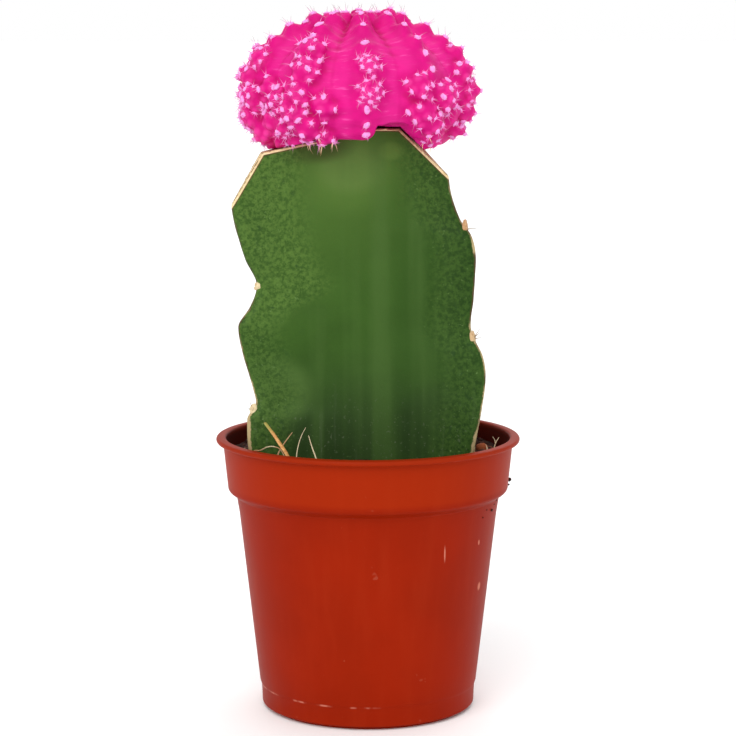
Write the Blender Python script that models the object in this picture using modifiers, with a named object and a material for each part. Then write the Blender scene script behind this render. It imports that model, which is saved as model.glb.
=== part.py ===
"""Potted moon cactus: a ribbed magenta head grafted on a three-ribbed green stem, in a nursery pot.

Metres, +Z up. The pot stands on z = 0 with its axis on the Z axis, and the front looks towards -Y.
Azimuths are in degrees from the front, growing towards +X. Polar angles are in degrees from straight up.
"""
import math
import random

import bmesh
import bpy
from mathutils import Matrix, Vector

MM = 0.001
GAP = 0.3 * MM
MERGE = 0.002 * MM
SEED = 11

# Pot
POT_SIDES = 48
POT_HEIGHT = 58.9 * MM
LIP_RADIUS = 32.5 * MM
LIP_HEIGHT = 1.9 * MM
LIP_ROUNDING = 0.55 * MM
LIP_DROP = 0.1 * MM
LIP_INNER_WIDTH = 0.6 * MM
LIP_INNER_DROP = 0.35 * MM
COLLAR_TOP_RADIUS = 30.95 * MM
COLLAR_FOOT_RADIUS = 30.05 * MM
COLLAR_FOOT = 47.8 * MM
COLLAR_STEP = 1.8 * MM
BODY_TOP_RADIUS = 28.05 * MM
BASE_RADIUS = 22.95 * MM
BASE_ROUNDING = 0.8 * MM
COLLAR_ROUNDING = 0.8 * MM
FLOOR_ROUNDING = 0.9 * MM
WALL = 1.0 * MM
FLOOR = 2.0 * MM
FOOT_RING_WIDTH = 2.6 * MM
HUB_RADIUS = 9.5 * MM
CHANNEL_HEIGHT = 0.9 * MM
DRAIN_HOLES = 6
DRAIN_RADIUS = 2.4 * MM

# Soil
SOIL_TOP = 55.4 * MM
SOIL_RELIEF = 0.45 * MM
SOIL_RINGS = 6
SOIL_SIDES = 36
SOIL_WAVES = (6.1 * MM, 7.3 * MM, 9.7 * MM)
SOIL_SHIFTS = (0.7, -0.4, 1.9)
SOIL_SLANT = 0.6

# Green stem: the margins of its left, right and back rib as (height, reach from the axis) in mm
STEM_AXIS = Vector((-1.5, 0.0, 0.0)) * MM
RIB_TURNS = (210.0, 330.0, 90.0)
LEFT_MARGIN = ((126.0, 30.6), (108.0, 30.5), (98.0, 27.4), (92.4, 24.9), (88.0, 26.5), (84.0, 29.3),
               (77.5, 28.1), (71.0, 26.0), (67.8, 25.2), (64.4, 27.3), (58.0, 27.0), (50.0, 25.4))
RIGHT_MARGIN = ((126.0, 19.0), (115.8, 20.9), (111.0, 21.6), (106.0, 23.7), (103.0, 26.2), (97.8, 27.4),
                (90.0, 27.0), (84.0, 26.2), (81.0, 27.3), (78.0, 29.1), (74.0, 29.9), (69.0, 29.5),
                (58.0, 27.3), (50.0, 25.8))
BACK_MARGIN = ((126.0, 25.0), (112.0, 26.0), (101.0, 23.6), (96.0, 26.4), (80.0, 24.4), (75.5, 27.0),
               (61.0, 25.4), (50.0, 24.0))
BURIED_TAPER = ((54.0, 1.0), (45.0, 0.84), (34.0, 0.68), (24.0, 0.56))
STEM_FOOT = 24.0
STEM_LEVELS = (24.0, 34.0, 44.0, 52.0, 58.0, 62.0, 65.6, 69.2, 74.5, 77.5, 79.6, 82.0, 84.4, 88.0,
               92.0, 95.0, 98.0, 101.0, 103.0, 106.0, 109.0, 112.0, 119.0, 127.0)
VALLEY = 11.6
EDGE = 1.25
FLANK_SWEEP = 1.4
FLANK_STEPS = (0.0, 0.018, 0.06, 0.22, 0.48, 0.75, 1.0)
# Flat cuts on top of the stem: two points on each and how far it turns from the Y axis, in degrees
CUTS = (((-22.0, -12.0, 120.0), (1.7, -8.6, 124.9), 0.0),
        ((1.7, -8.6, 124.9), (6.9, -8.0, 124.85), 0.0),
        ((-22.0, -11.7, 120.0), (-27.9, -15.1, 110.3), -5.0),
        ((6.9, -5.0, 124.85), (16.7, -10.5, 115.4), 4.0),
        ((-1.5, 15.0, 123.4), (-1.5, 24.5, 113.0), 90.0))
# Areoles of the stem as (rib, height in mm)
STEM_AREOLES = ((0, 92.4), (0, 66.2), (1, 104.6), (1, 80.2), (2, 99.0), (2, 78.2))
STEM_PAD = (1.2 * MM, 0.6 * MM)
STEM_SPINE_LENGTH = 2.6 * MM
STEM_SPINE_RADIUS = 0.2 * MM
STEM_NEEDLE_LENGTH = 2.9 * MM
STEM_AREOLE_SINK = 0.4 * MM
STEM_NEEDLE_LEAN = (0.4, 0.8)
PAD_ROOT = 1.6
SPINE_TIP = 0.15
NEEDLE_TIP = 0.2

# Magenta head
HEAD_CENTRE = Vector((-2.3, 0.0, 132.5)) * MM
HEAD_RADIUS = 24.0 * MM
HEAD_RISE = 15.6 * MM
HEAD_DROP = 15.4 * MM
HEAD_ROUNDNESS = (2.0, 2.4)
HEAD_RIBS = 10
FIRST_RIB = 5.0
RIB_DEPTH = 3.0 * MM
RIB_FADE = 0.6
LOW_RIB_SHARE = 0.5
LOW_RIBS = (45.0, 85.0)
# Hollow underside: its depth at the graft and at its rim, which is higher in front and at a notch
UNDERSIDE_START = 100.0
RIM_POLAR = 123.0
SEAT_DEPTH = 9.1 * MM
RIM_DEPTH = 12.6 * MM
FRONT_LIFT = 3.0 * MM
LIFT_START = 0.1
LIFT_SPAN = 0.7
NOTCH_LIFT = 3.0 * MM
NOTCH_AZIMUTH = 22.0
NOTCH_SPREAD = 12.0
# Pups on the front ribs as (polar, azimuth off the rib, radius in mm); the others follow a rule
FRONT_PUPS = {0: ((76.5, 1, 2.5), (90, 1.5, 2.7)),
              -1: ((67, 3, 2.9), (78, 4, 3.3), (90, 1, 3.1), (100, -2, 3.3), (108, 3, 3.0),
                   (98, 13, 2.6), (95, -13, 3.1), (108, -13, 3.0), (115, 11, 2.2), (117, -9, 2.5)),
              1: ((88, -7, 2.8), (93, 9, 3.7), (100, -5, 2.7), (106, 1, 2.8), (112, 9, 2.6),
                  (104, 19, 2.7), (119, 17, 2.8)),
              -2: ((73, 1, 2.8), (83, -3, 3.0), (93, 3, 3.1), (103, -2, 3.2), (112, 2, 3.1),
                   (89, 14, 2.6), (106, 14, 2.8), (98, -14, 2.7), (118, 11, 2.7), (120, -2, 2.5)),
              2: ((70, 1, 2.4), (80, -3, 2.7), (90, 2, 3.0), (100, -2, 2.7), (110, -3, 2.2),
                  (87, 13, 2.5), (104, -14, 2.4)),
              -3: ((70, -1, 2.5), (82, 2, 2.9), (93, -2, 3.2), (104, 2, 3.1), (113, -1, 2.9),
                   (97, 13, 2.7), (88, -14, 2.6)),
              3: ((72, 1, 2.5), (83, -2, 2.8), (94, 2, 3.0), (105, -1, 2.4), (90, -13, 2.6),
                  (102, 14, 2.5))}
CREST_ROWS = (74, 88, 101, 113)
SIDE_ROWS = (87, 105)
PUP_RADII = (2.6, 3.5)
PUP_SINK = 0.42
# How deep in a pup a point counts as hidden, and how fast the rings of areoles twist with azimuth
PUP_DEPTH = 0.985
PUP_TWIST = 7.0
# Areoles straight on the crests, by polar angle: every rib's crown, then those of single ribs
CROWN_AREOLES = (16, 33, 49)
CREST_AREOLES = {0: (63, 97.5, 105, 110.5), -1: (57,), 1: (61, 70, 79)}
SIDE_CREST = (61,)
# Single peaks of the crown as (azimuth, polar)
CROWN_PEAKS = ((82, 24), (95, 37), (172, 9), (-88, 29), (-60, 42))
PUP_RING = 3
PUP_RING_TILT = 52.0
PAD_RADIUS = 0.62 * MM
PAD_HEIGHT = 0.32 * MM
SPINE_RADIUS = 0.15 * MM
SPINE_LENGTH = 2.1 * MM
# Spines are left out where they would reach into the stem: above its top, round its axis, behind its front
STEM_CLEARANCE = 1.0 * MM
STEM_REACH = 26.0 * MM
STEM_FRONT = -17.0 * MM

# Loose pieces on the soil: (name, radius in mm, route as (x, y, height over the soil) in mm)
LITTER = (("straw", 0.5, ((-15.4, -24.1, 0.0), (-16.8, -23.0, 2.7), (-18.1, -21.8, 4.5),
                          (-19.4, -20.6, 6.3), (-21.3, -18.6, 8.6))),
          ("root_thread_1", 0.3, ((-25.6, -12.6, 0.2), (-24.7, -15.2, 2.5), (-23.2, -17.0, 2.9),
                                  (-21.4, -18.3, 3.7), (-19.6, -19.4, 3.9), (-17.9, -20.9, 3.3),
                                  (-16.6, -22.6, 0.8))),
          ("root_thread_2", 0.3, ((-19.2, -20.6, 0.0), (-18.5, -19.7, 2.6), (-17.3, -18.6, 4.5),
                                  (-15.7, -17.5, 6.5))),
          ("root_thread_3", 0.3, ((-9.9, -25.2, 0.0), (-10.7, -23.2, 2.2), (-11.6, -21.0, 4.2),
                                  (-12.3, -19.0, 6.1))))


def material(name, colour, roughness, metallic=0.0):
    made = bpy.data.materials.new(name)
    made.use_nodes = True
    shader = made.node_tree.nodes["Principled BSDF"]
    shader.inputs["Base Color"].default_value = (*colour, 1.0)
    shader.inputs["Roughness"].default_value = roughness
    shader.inputs["Metallic"].default_value = metallic
    return made


def clear_scene():
    for thing in list(bpy.data.objects):
        bpy.data.objects.remove(thing, do_unlink=True)


def collection(name):
    made = bpy.data.collections.new(name)
    bpy.context.scene.collection.children.link(made)
    return made


def place(name, mesh, group):
    thing = bpy.data.objects.new(name, mesh)
    group.objects.link(thing)
    return thing


def mesh_of(name, bm):
    mesh = bpy.data.meshes.new(name)
    bm.to_mesh(mesh)
    bm.free()
    return mesh


def baked(thing):
    """The evaluated mesh of an object, as a new mesh."""
    graph = bpy.context.evaluated_depsgraph_get()
    graph.update()
    return bpy.data.meshes.new_from_object(thing.evaluated_get(graph))


def apply_modifiers(thing):
    mesh = baked(thing)
    thing.modifiers.clear()
    thing.data = mesh


def boolean(thing, operation, group):
    """Cuts or joins with every object of a collection, applies it and removes those objects."""
    step = thing.modifiers.new(operation.title(), "BOOLEAN")
    step.operation = operation
    step.operand_type = "COLLECTION"
    step.collection = group
    step.solver = "EXACT"
    apply_modifiers(thing)
    for used in list(group.objects):
        bpy.data.objects.remove(used, do_unlink=True)
    bpy.data.collections.remove(group)


def collapse_short_edges(bm):
    """Collapses the tiny edges that a Boolean leaves, where that keeps the skin whole."""
    short = [edge for edge in bm.edges if edge.calc_length() < MERGE]
    while short:
        edge = short.pop()
        if not edge.is_valid:
            continue
        first, second = edge.verts
        beside_first = {spoke.other_vert(first) for spoke in first.link_edges}
        shared = beside_first & {spoke.other_vert(second) for spoke in second.link_edges}
        if len(shared) == 2:
            bmesh.ops.weld_verts(bm, targetmap={second: first})


def keep_one_body(thing):
    """Drops loose scraps and the walls of sealed hollows: only the largest shell stays."""
    bm = bmesh.new()
    bm.from_mesh(thing.data)
    waiting = set(bm.faces)
    shells = []
    while waiting:
        shell = {waiting.pop()}
        edge_faces = list(shell)
        while edge_faces:
            face = edge_faces.pop()
            for edge in face.edges:
                for other in edge.link_faces:
                    if other in waiting:
                        waiting.discard(other)
                        shell.add(other)
                        edge_faces.append(other)
        shells.append(shell)
    shells.sort(key=lambda shell: sum(face.calc_area() for face in shell))
    extra = [face for shell in shells[:-1] for face in shell]
    bmesh.ops.delete(bm, geom=extra, context="FACES")
    bmesh.ops.triangulate(bm, faces=bm.faces)
    collapse_short_edges(bm)
    bm.to_mesh(thing.data)
    bm.free()


def arc(radius_at, height_at, rounding, start, end, steps):
    """Points of an arc in the profile plane, from one angle to another in degrees."""
    turn = [math.radians(start + (end - start) * step / steps) for step in range(steps + 1)]
    return [(radius_at + rounding * math.cos(a), height_at + rounding * math.sin(a)) for a in turn]


def turned(name, profile, sides, group):
    """A solid turned about the Z axis from a profile that runs up its inside and down its outside."""
    bm = bmesh.new()
    points = [bm.verts.new((radius, 0.0, height)) for radius, height in profile]
    for first, second in zip(points, points[1:]):
        bm.edges.new((first, second))
    thing = place(name, mesh_of(name, bm), group)
    screw = thing.modifiers.new("Turn", "SCREW")
    screw.steps = sides
    screw.render_steps = sides
    screw.use_merge_vertices = True
    screw.merge_threshold = MERGE
    apply_modifiers(thing)
    return thing


def inner_wall():
    """The pot's inside from the floor's corner up to the lip, as (radius, height)."""
    return [(BASE_RADIUS - WALL - FLOOR_ROUNDING, FLOOR),
            (BASE_RADIUS - WALL, FLOOR + FLOOR_ROUNDING),
            (BODY_TOP_RADIUS - WALL, COLLAR_FOOT - COLLAR_STEP),
            (COLLAR_FOOT_RADIUS - WALL, COLLAR_FOOT + WALL / 2),
            (COLLAR_TOP_RADIUS - WALL, POT_HEIGHT - WALL)]


def pot_profile():
    lip_edge = LIP_RADIUS - LIP_ROUNDING
    lip_middle = POT_HEIGHT - LIP_ROUNDING - LIP_DROP
    ring_inner = BASE_RADIUS - BASE_ROUNDING - FOOT_RING_WIDTH
    slope = CHANNEL_HEIGHT / 2
    profile = [(0.0, FLOOR)]
    profile += inner_wall()
    profile += [(COLLAR_TOP_RADIUS - LIP_INNER_WIDTH, POT_HEIGHT - LIP_INNER_DROP),
                (COLLAR_TOP_RADIUS, POT_HEIGHT)]
    profile += arc(lip_edge, lip_middle, LIP_ROUNDING, 75.0, -75.0, 4)
    profile += [(COLLAR_TOP_RADIUS + LIP_ROUNDING, POT_HEIGHT - LIP_HEIGHT + LIP_ROUNDING),
                (COLLAR_TOP_RADIUS, POT_HEIGHT - LIP_HEIGHT)]
    profile += arc(COLLAR_FOOT_RADIUS - COLLAR_ROUNDING, COLLAR_FOOT, COLLAR_ROUNDING, 0.0, -80.0, 2)
    profile += [(BODY_TOP_RADIUS + LIP_DROP, COLLAR_FOOT - COLLAR_STEP / 2),
                (BODY_TOP_RADIUS, COLLAR_FOOT - COLLAR_STEP)]
    profile += arc(BASE_RADIUS - BASE_ROUNDING, BASE_ROUNDING, BASE_ROUNDING, -3.0, -90.0, 3)
    profile += [(ring_inner, 0.0),
                (ring_inner - slope, CHANNEL_HEIGHT),
                (HUB_RADIUS + slope, CHANNEL_HEIGHT),
                (HUB_RADIUS, 0.0),
                (0.0, 0.0)]
    return profile


def drain_cutters(group):
    channel_middle = (BASE_RADIUS - BASE_ROUNDING - FOOT_RING_WIDTH + HUB_RADIUS) / 2
    for number in range(DRAIN_HOLES):
        turn = math.radians((number + 0.5) * 360.0 / DRAIN_HOLES)
        bm = bmesh.new()
        bmesh.ops.create_cone(bm, cap_ends=True, segments=12, radius1=DRAIN_RADIUS,
                              radius2=DRAIN_RADIUS, depth=4 * FLOOR)
        where = (channel_middle * math.cos(turn), channel_middle * math.sin(turn), FLOOR / 2)
        bmesh.ops.translate(bm, verts=bm.verts, vec=where)
        place("drain", mesh_of("drain", bm), group)


def make_pot(group):
    pot = turned("pot", pot_profile(), POT_SIDES, group)
    cutters = collection("pot cutters")
    drain_cutters(cutters)
    boolean(pot, "DIFFERENCE", cutters)
    keep_one_body(pot)
    pot.data.materials.append(material("terracotta plastic", (0.42, 0.035, 0.012), 0.42))
    return pot


def soil_height(x, y):
    """Height of the soil's low mounds over a point."""
    across = math.sin(x / SOIL_WAVES[0] + SOIL_SHIFTS[0]) * math.cos(y / SOIL_WAVES[1] + SOIL_SHIFTS[1])
    slanting = math.sin((x + y) / SOIL_WAVES[2] + SOIL_SHIFTS[2])
    return SOIL_TOP + SOIL_RELIEF * (across + SOIL_SLANT * slanting)


def soil_profile():
    wall = [(radius - GAP, height) for radius, height in inner_wall()]
    share = (SOIL_TOP - wall[-2][1]) / (wall[-1][1] - wall[-2][1])
    top_radius = wall[-2][0] + (wall[-1][0] - wall[-2][0]) * share
    side = [(top_radius, SOIL_TOP)] + wall[-2:0:-1] + [(wall[0][0], FLOOR + GAP)]
    rings = [(top_radius * ring / SOIL_RINGS, SOIL_TOP) for ring in range(SOIL_RINGS)]
    return rings + side + [(0.0, FLOOR + GAP)]


def make_soil(group, stem_shape):
    soil = turned("soil", soil_profile(), SOIL_SIDES, group)
    for point in soil.data.vertices:
        if point.co.z > SOIL_TOP - GAP:
            point.co.z = soil_height(point.co.x, point.co.y)
    cutters = collection("soil cutters")
    place("stem hole", grown(stem_shape), cutters)
    boolean(soil, "DIFFERENCE", cutters)
    keep_one_body(soil)
    soil.data.materials.append(material("peat", (0.03, 0.012, 0.009), 0.95))
    return soil


def along(points, height):
    """A smooth curve through (height, value) points that run downwards."""
    points = sorted(points)
    if height <= points[0][0]:
        return points[0][1]
    if height >= points[-1][0]:
        return points[-1][1]
    rises = [(b[1] - a[1]) / (b[0] - a[0]) for a, b in zip(points, points[1:])]
    slopes = [rises[0]] + [(a + b) / 2 if a * b > 0 else 0.0 for a, b in zip(rises, rises[1:])] + [rises[-1]]
    at = max(i for i in range(len(points) - 1) if points[i][0] <= height)
    (low, start), (high, end) = points[at], points[at + 1]
    span = high - low
    t = (height - low) / span
    return (start * (2 * t ** 3 - 3 * t ** 2 + 1) + end * (3 * t ** 2 - 2 * t ** 3)
            + span * (slopes[at] * (t ** 3 - 2 * t ** 2 + t) + slopes[at + 1] * (t ** 3 - t ** 2)))


def buried(height):
    return along(BURIED_TAPER, height)


def margin(rib, height):
    """Where a rib's margin lies at a height, both in mm."""
    reach = along((LEFT_MARGIN, RIGHT_MARGIN, BACK_MARGIN)[rib], height) * buried(height)
    turn = math.radians(RIB_TURNS[rib])
    return STEM_AXIS + Vector((reach * math.cos(turn), reach * math.sin(turn), height)) * MM


def flank(rib, height, side):
    """Section of one rib flank from its margin to the valley beside it, turned to its place."""
    scale = buried(height)
    reach = along((LEFT_MARGIN, RIGHT_MARGIN, BACK_MARGIN)[rib], height) * scale
    valley = VALLEY * scale
    foot = valley * math.cos(math.radians(60.0))
    width = valley * math.sin(math.radians(60.0))
    edge = EDGE * scale
    points = []
    for step in FLANK_STEPS:
        out = reach - (reach - foot) * step
        rounding = math.sqrt(min(1.0, step / FLANK_STEPS[2]))
        points.append((out, side * (edge * rounding + (width - edge) * step ** FLANK_SWEEP)))
    turn = math.radians(RIB_TURNS[rib])
    return [STEM_AXIS + Vector((out * math.cos(turn) - off * math.sin(turn),
                                out * math.sin(turn) + off * math.cos(turn), height)) * MM
            for out, off in points[1:]]


def stem_ring(height):
    """One level of the stem: margin, flank and valley of each rib in turn."""
    ring = []
    for rib in (2, 0, 1):
        before = flank(rib, height, -1)
        after = flank(rib, height, 1)
        ring += before[-2::-1] + [margin(rib, height)] + after
    return ring


def cut_flat(bm, through, normal):
    """Cuts away what lies beyond a plane and closes the flat it leaves."""
    everything = bm.verts[:] + bm.edges[:] + bm.faces[:]
    cut = bmesh.ops.bisect_plane(bm, geom=everything, plane_co=through, plane_no=normal, clear_outer=True)
    edges = [part for part in cut["geom_cut"] if isinstance(part, bmesh.types.BMEdge)]
    bmesh.ops.contextual_create(bm, geom=edges)


def cut_plane(upper, lower, turn):
    """A point and the upward normal of one of the flat cuts on the stem."""
    start = Vector(upper) * MM
    run = Vector(lower) * MM - start
    run_in_view = Vector((run.x, 0.0, run.z)) if abs(turn) < 45.0 else run
    across = Vector((math.sin(math.radians(turn)), math.cos(math.radians(turn)), 0.0))
    normal = run_in_view.cross(across).normalized()
    return start, normal if normal.z > 0 else -normal


def stem_shape():
    """The stem without its areoles."""
    bm = bmesh.new()
    levels = []
    for height in STEM_LEVELS:
        levels.append([bm.verts.new(point) for point in stem_ring(height)])
    for lower, upper in zip(levels, levels[1:]):
        for number in range(len(lower)):
            after = (number + 1) % len(lower)
            bm.faces.new((lower[number], lower[after], upper[after], upper[number]))
    bm.faces.new(levels[0][::-1])
    bm.faces.new(levels[-1])
    for upper, lower, turn in CUTS:
        cut_flat(bm, *cut_plane(upper, lower, turn))
    bmesh.ops.triangulate(bm, faces=bm.faces, ngon_method="EAR_CLIP")
    bmesh.ops.recalc_face_normals(bm, faces=bm.faces)
    return mesh_of("stem shape", bm)


def grown(shape):
    """A copy of the stem's shape that stands off it by the gap on all sides."""
    bm = bmesh.new()
    bm.from_mesh(shape)
    bm.normal_update()
    moves = [(point, point.normal * point.calc_shell_factor() * GAP) for point in bm.verts]
    for point, move in moves:
        point.co += move
    return mesh_of("grown stem", bm)


def spike(at, direction, pad_radius, pad_height, spine_radius, length, sides, group):
    """An areole's low pad with one spine rising from it, rooted below the skin."""
    bm = bmesh.new()
    sunk = pad_height * PAD_ROOT
    bmesh.ops.create_cone(bm, cap_ends=True, segments=sides, radius1=pad_radius, radius2=spine_radius,
                          depth=sunk + pad_height)
    bmesh.ops.translate(bm, verts=bm.verts, vec=(0.0, 0.0, (pad_height - sunk) / 2))
    bm.faces.ensure_lookup_table()
    top = max(bm.faces, key=lambda face: face.calc_center_median().z)
    tip = bmesh.ops.extrude_discrete_faces(bm, faces=[top])["faces"][0]
    bmesh.ops.scale(bm, verts=tip.verts, vec=(SPINE_TIP, SPINE_TIP, 1.0))
    bmesh.ops.translate(bm, verts=tip.verts, vec=(0.0, 0.0, length))
    turn = direction.to_track_quat("Z", "Y").to_matrix().to_4x4()
    bm.transform(Matrix.Translation(at) @ turn)
    bmesh.ops.recalc_face_normals(bm, faces=bm.faces)
    place("spike", mesh_of("spike", bm), group)


def needle(root, direction, radius, length, sides, group):
    """A spine that tapers from its root, which lies below the skin."""
    bm = bmesh.new()
    bmesh.ops.create_cone(bm, cap_ends=True, segments=sides, radius1=radius, radius2=radius * NEEDLE_TIP,
                          depth=length)
    bmesh.ops.translate(bm, verts=bm.verts, vec=(0.0, 0.0, length / 2))
    bm.transform(Matrix.Translation(root) @ direction.to_track_quat("Z", "Y").to_matrix().to_4x4())
    place("needle", mesh_of("needle", bm), group)


def stem_spikes(group):
    for rib, height in STEM_AREOLES:
        turn = math.radians(RIB_TURNS[rib])
        outward = Vector((math.cos(turn), math.sin(turn), 0.0))
        aside = Vector((-math.sin(turn), math.cos(turn), 0.0))
        at = margin(rib, height) - outward * STEM_AREOLE_SINK
        spike(at, outward, *STEM_PAD, STEM_SPINE_RADIUS, STEM_SPINE_LENGTH, 5, group)
        for side in (-1, 1):
            lean = outward + (aside * STEM_NEEDLE_LEAN[0] + Vector((0.0, 0.0, STEM_NEEDLE_LEAN[1]))) * side
            root = at + aside * GAP * side / 2
            needle(root, lean.normalized(), STEM_SPINE_RADIUS, STEM_NEEDLE_LENGTH, 3, group)


def make_rootstock(group, shape):
    stock = place("rootstock", shape.copy(), group)
    repeats = collection("stem repeats")
    stem_spikes(repeats)
    boolean(stock, "UNION", repeats)
    keep_one_body(stock)
    stock.data.materials.append(material("green skin", (0.052, 0.13, 0.030), 0.5))
    return stock


def heading(azimuth, polar):
    """Unit vector for an azimuth and a polar angle in degrees."""
    a, p = math.radians(azimuth), math.radians(polar)
    return Vector((math.sin(p) * math.sin(a), -math.sin(p) * math.cos(a), math.cos(p)))


def angles(direction):
    unit = direction.normalized()
    return math.degrees(math.atan2(unit.x, -unit.y)), math.degrees(math.acos(max(-1.0, min(1.0, unit.z))))


def rib_azimuth(rib):
    return FIRST_RIB + rib * 360.0 / HEAD_RIBS


def underside(azimuth, polar):
    """Depth of the head's hollow underside below its centre."""
    turn = math.radians(azimuth)
    lift = FRONT_LIFT * max(0.0, min(1.0, (math.cos(turn) + LIFT_START) / LIFT_SPAN))
    lift += NOTCH_LIFT * math.exp(-((azimuth - NOTCH_AZIMUTH) / NOTCH_SPREAD) ** 4)
    rim = math.sin(math.radians(polar)) / math.sin(math.radians(RIM_POLAR))
    return SEAT_DEPTH + (RIM_DEPTH - SEAT_DEPTH - lift) * rim


def groove(azimuth, polar):
    """Depth of the grooves between ribs: sharp on the crown, broad and low on the sides."""
    spacing = 360.0 / HEAD_RIBS
    off = abs((azimuth - FIRST_RIB + spacing / 2) % spacing - spacing / 2) / (spacing / 2)
    sharp = 1 - math.cos(off * math.pi / 2)
    broad = LOW_RIB_SHARE * (1 - math.cos(off * math.pi)) / 2
    low = max(0.0, min(1.0, (polar - LOW_RIBS[0]) / (LOW_RIBS[1] - LOW_RIBS[0])))
    return RIB_DEPTH * (sharp + (broad - sharp) * low) * math.sin(math.radians(polar)) ** RIB_FADE


def head_reach(azimuth, polar):
    """Distance from the head's centre to the skin of its ribbed body."""
    side, up = math.sin(math.radians(polar)), math.cos(math.radians(polar))
    half = HEAD_RISE if up > 0 else HEAD_DROP
    power = HEAD_ROUNDNESS[0] if up > 0 else HEAD_ROUNDNESS[1]
    reach = ((side / HEAD_RADIUS) ** power + (abs(up) / half) ** power) ** (-1 / power)
    reach -= groove(azimuth, polar)
    if polar > UNDERSIDE_START:
        reach = min(reach, underside(azimuth, polar) / abs(up))
    return reach


def head_point(azimuth, polar):
    return HEAD_CENTRE + heading(azimuth, polar) * head_reach(azimuth, polar)


def head_normal(azimuth, polar):
    """Outward direction of the head's general round, without its grooves."""
    unit = heading(azimuth, polar)
    half = HEAD_RISE if unit.z > 0 else HEAD_DROP
    return Vector((unit.x / HEAD_RADIUS ** 2, unit.y / HEAD_RADIUS ** 2, unit.z / half ** 2)).normalized()


def head_body(group):
    bm = bmesh.new()
    bmesh.ops.create_uvsphere(bm, u_segments=4 * HEAD_RIBS, v_segments=16, radius=1.0)
    bmesh.ops.rotate(bm, verts=bm.verts, matrix=Matrix.Rotation(math.radians(FIRST_RIB), 3, "Z"))
    for point in bm.verts:
        point.co = head_point(*angles(point.co))
    bmesh.ops.recalc_face_normals(bm, faces=bm.faces)
    return place("scion", mesh_of("scion", bm), group)


def pups():
    """Every pup of the head as its azimuth, polar angle and radius."""
    chance = random.Random(SEED)
    found = []
    for rib in range(-HEAD_RIBS // 2 + 1, HEAD_RIBS // 2 + 1):
        rows = FRONT_PUPS.get(rib)
        if rows is None:
            rows = [(row + chance.uniform(-3, 3), chance.uniform(-4, 4), chance.uniform(*PUP_RADII))
                    for row in CREST_ROWS]
            rows += [(row + chance.uniform(-3, 3), side * chance.uniform(11, 15), chance.uniform(2.5, 3.2))
                     for row, side in zip(SIDE_ROWS, (1, -1))]
        found += [(rib_azimuth(rib) + off, polar, radius * MM) for polar, off, radius in rows]
    return found


def pup_axis(azimuth, polar, radius):
    """A pup's centre and the way it faces."""
    outward = head_normal(azimuth, polar)
    return head_point(azimuth, polar) - outward * radius * PUP_SINK, outward


def inside_head(point, body_too=True):
    """Whether a point lies in the body or in a pup of the head."""
    if body_too:
        reach = point - HEAD_CENTRE
        if reach.length < head_reach(*angles(reach)):
            return True
    return any((point - pup_axis(*pup)[0]).length < pup[2] * PUP_DEPTH for pup in pups())


def head_areoles():
    """Every areole of the head as its place and the way it points."""
    found = []
    for rib in range(-HEAD_RIBS // 2 + 1, HEAD_RIBS // 2 + 1):
        for polar in CROWN_AREOLES + CREST_AREOLES.get(rib, SIDE_CREST):
            azimuth = rib_azimuth(rib)
            found.append((head_point(azimuth, polar), head_normal(azimuth, polar)))
    found += [(head_point(*peak), head_normal(*peak)) for peak in CROWN_PEAKS]
    found = [areole for areole in found if not inside_head(areole[0], body_too=False)]
    for azimuth, polar, radius in pups():
        centre, outward = pup_axis(azimuth, polar, radius)
        aside = outward.orthogonal().normalized()
        across = outward.cross(aside)
        ways = [outward]
        for number in range(PUP_RING):
            turn = math.radians(number * 360.0 / PUP_RING + azimuth * PUP_TWIST)
            tilt = math.radians(PUP_RING_TILT)
            level = aside * math.cos(turn) + across * math.sin(turn)
            ways.append(outward * math.cos(tilt) + level * math.sin(tilt))
        for way in ways:
            at = centre + way * radius
            if not inside_head(at + way * 0.5 * MM):
                found.append((at, way))
    return found


def near_stem(point):
    """Whether a point comes too close to the green stem's top."""
    through, normal = cut_plane(*CUTS[0])
    beside = Vector((point.x - STEM_AXIS.x, point.y - STEM_AXIS.y))
    return ((point - through).dot(normal) < STEM_CLEARANCE and beside.length < STEM_REACH
            and point.y > STEM_FRONT)


def head_repeats(group):
    for azimuth, polar, radius in pups():
        centre, outward = pup_axis(azimuth, polar, radius)
        bm = bmesh.new()
        bmesh.ops.create_uvsphere(bm, u_segments=7, v_segments=5, radius=radius)
        bm.transform(Matrix.Translation(centre) @ outward.to_track_quat("Z", "Y").to_matrix().to_4x4())
        place("pup", mesh_of("pup", bm), group)
    for at, way in head_areoles():
        if not near_stem(at + way * SPINE_LENGTH):
            spike(at, way, PAD_RADIUS, PAD_HEIGHT, SPINE_RADIUS, SPINE_LENGTH, 3, group)


def make_scion(group, shape):
    scion = head_body(group)
    repeats = collection("head repeats")
    head_repeats(repeats)
    boolean(scion, "UNION", repeats)
    cutters = collection("head cutters")
    place("graft seat", grown(shape), cutters)
    boolean(scion, "DIFFERENCE", cutters)
    keep_one_body(scion)
    scion.data.materials.append(material("magenta skin", (0.80, 0.005, 0.22), 0.45))
    return scion


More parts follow.
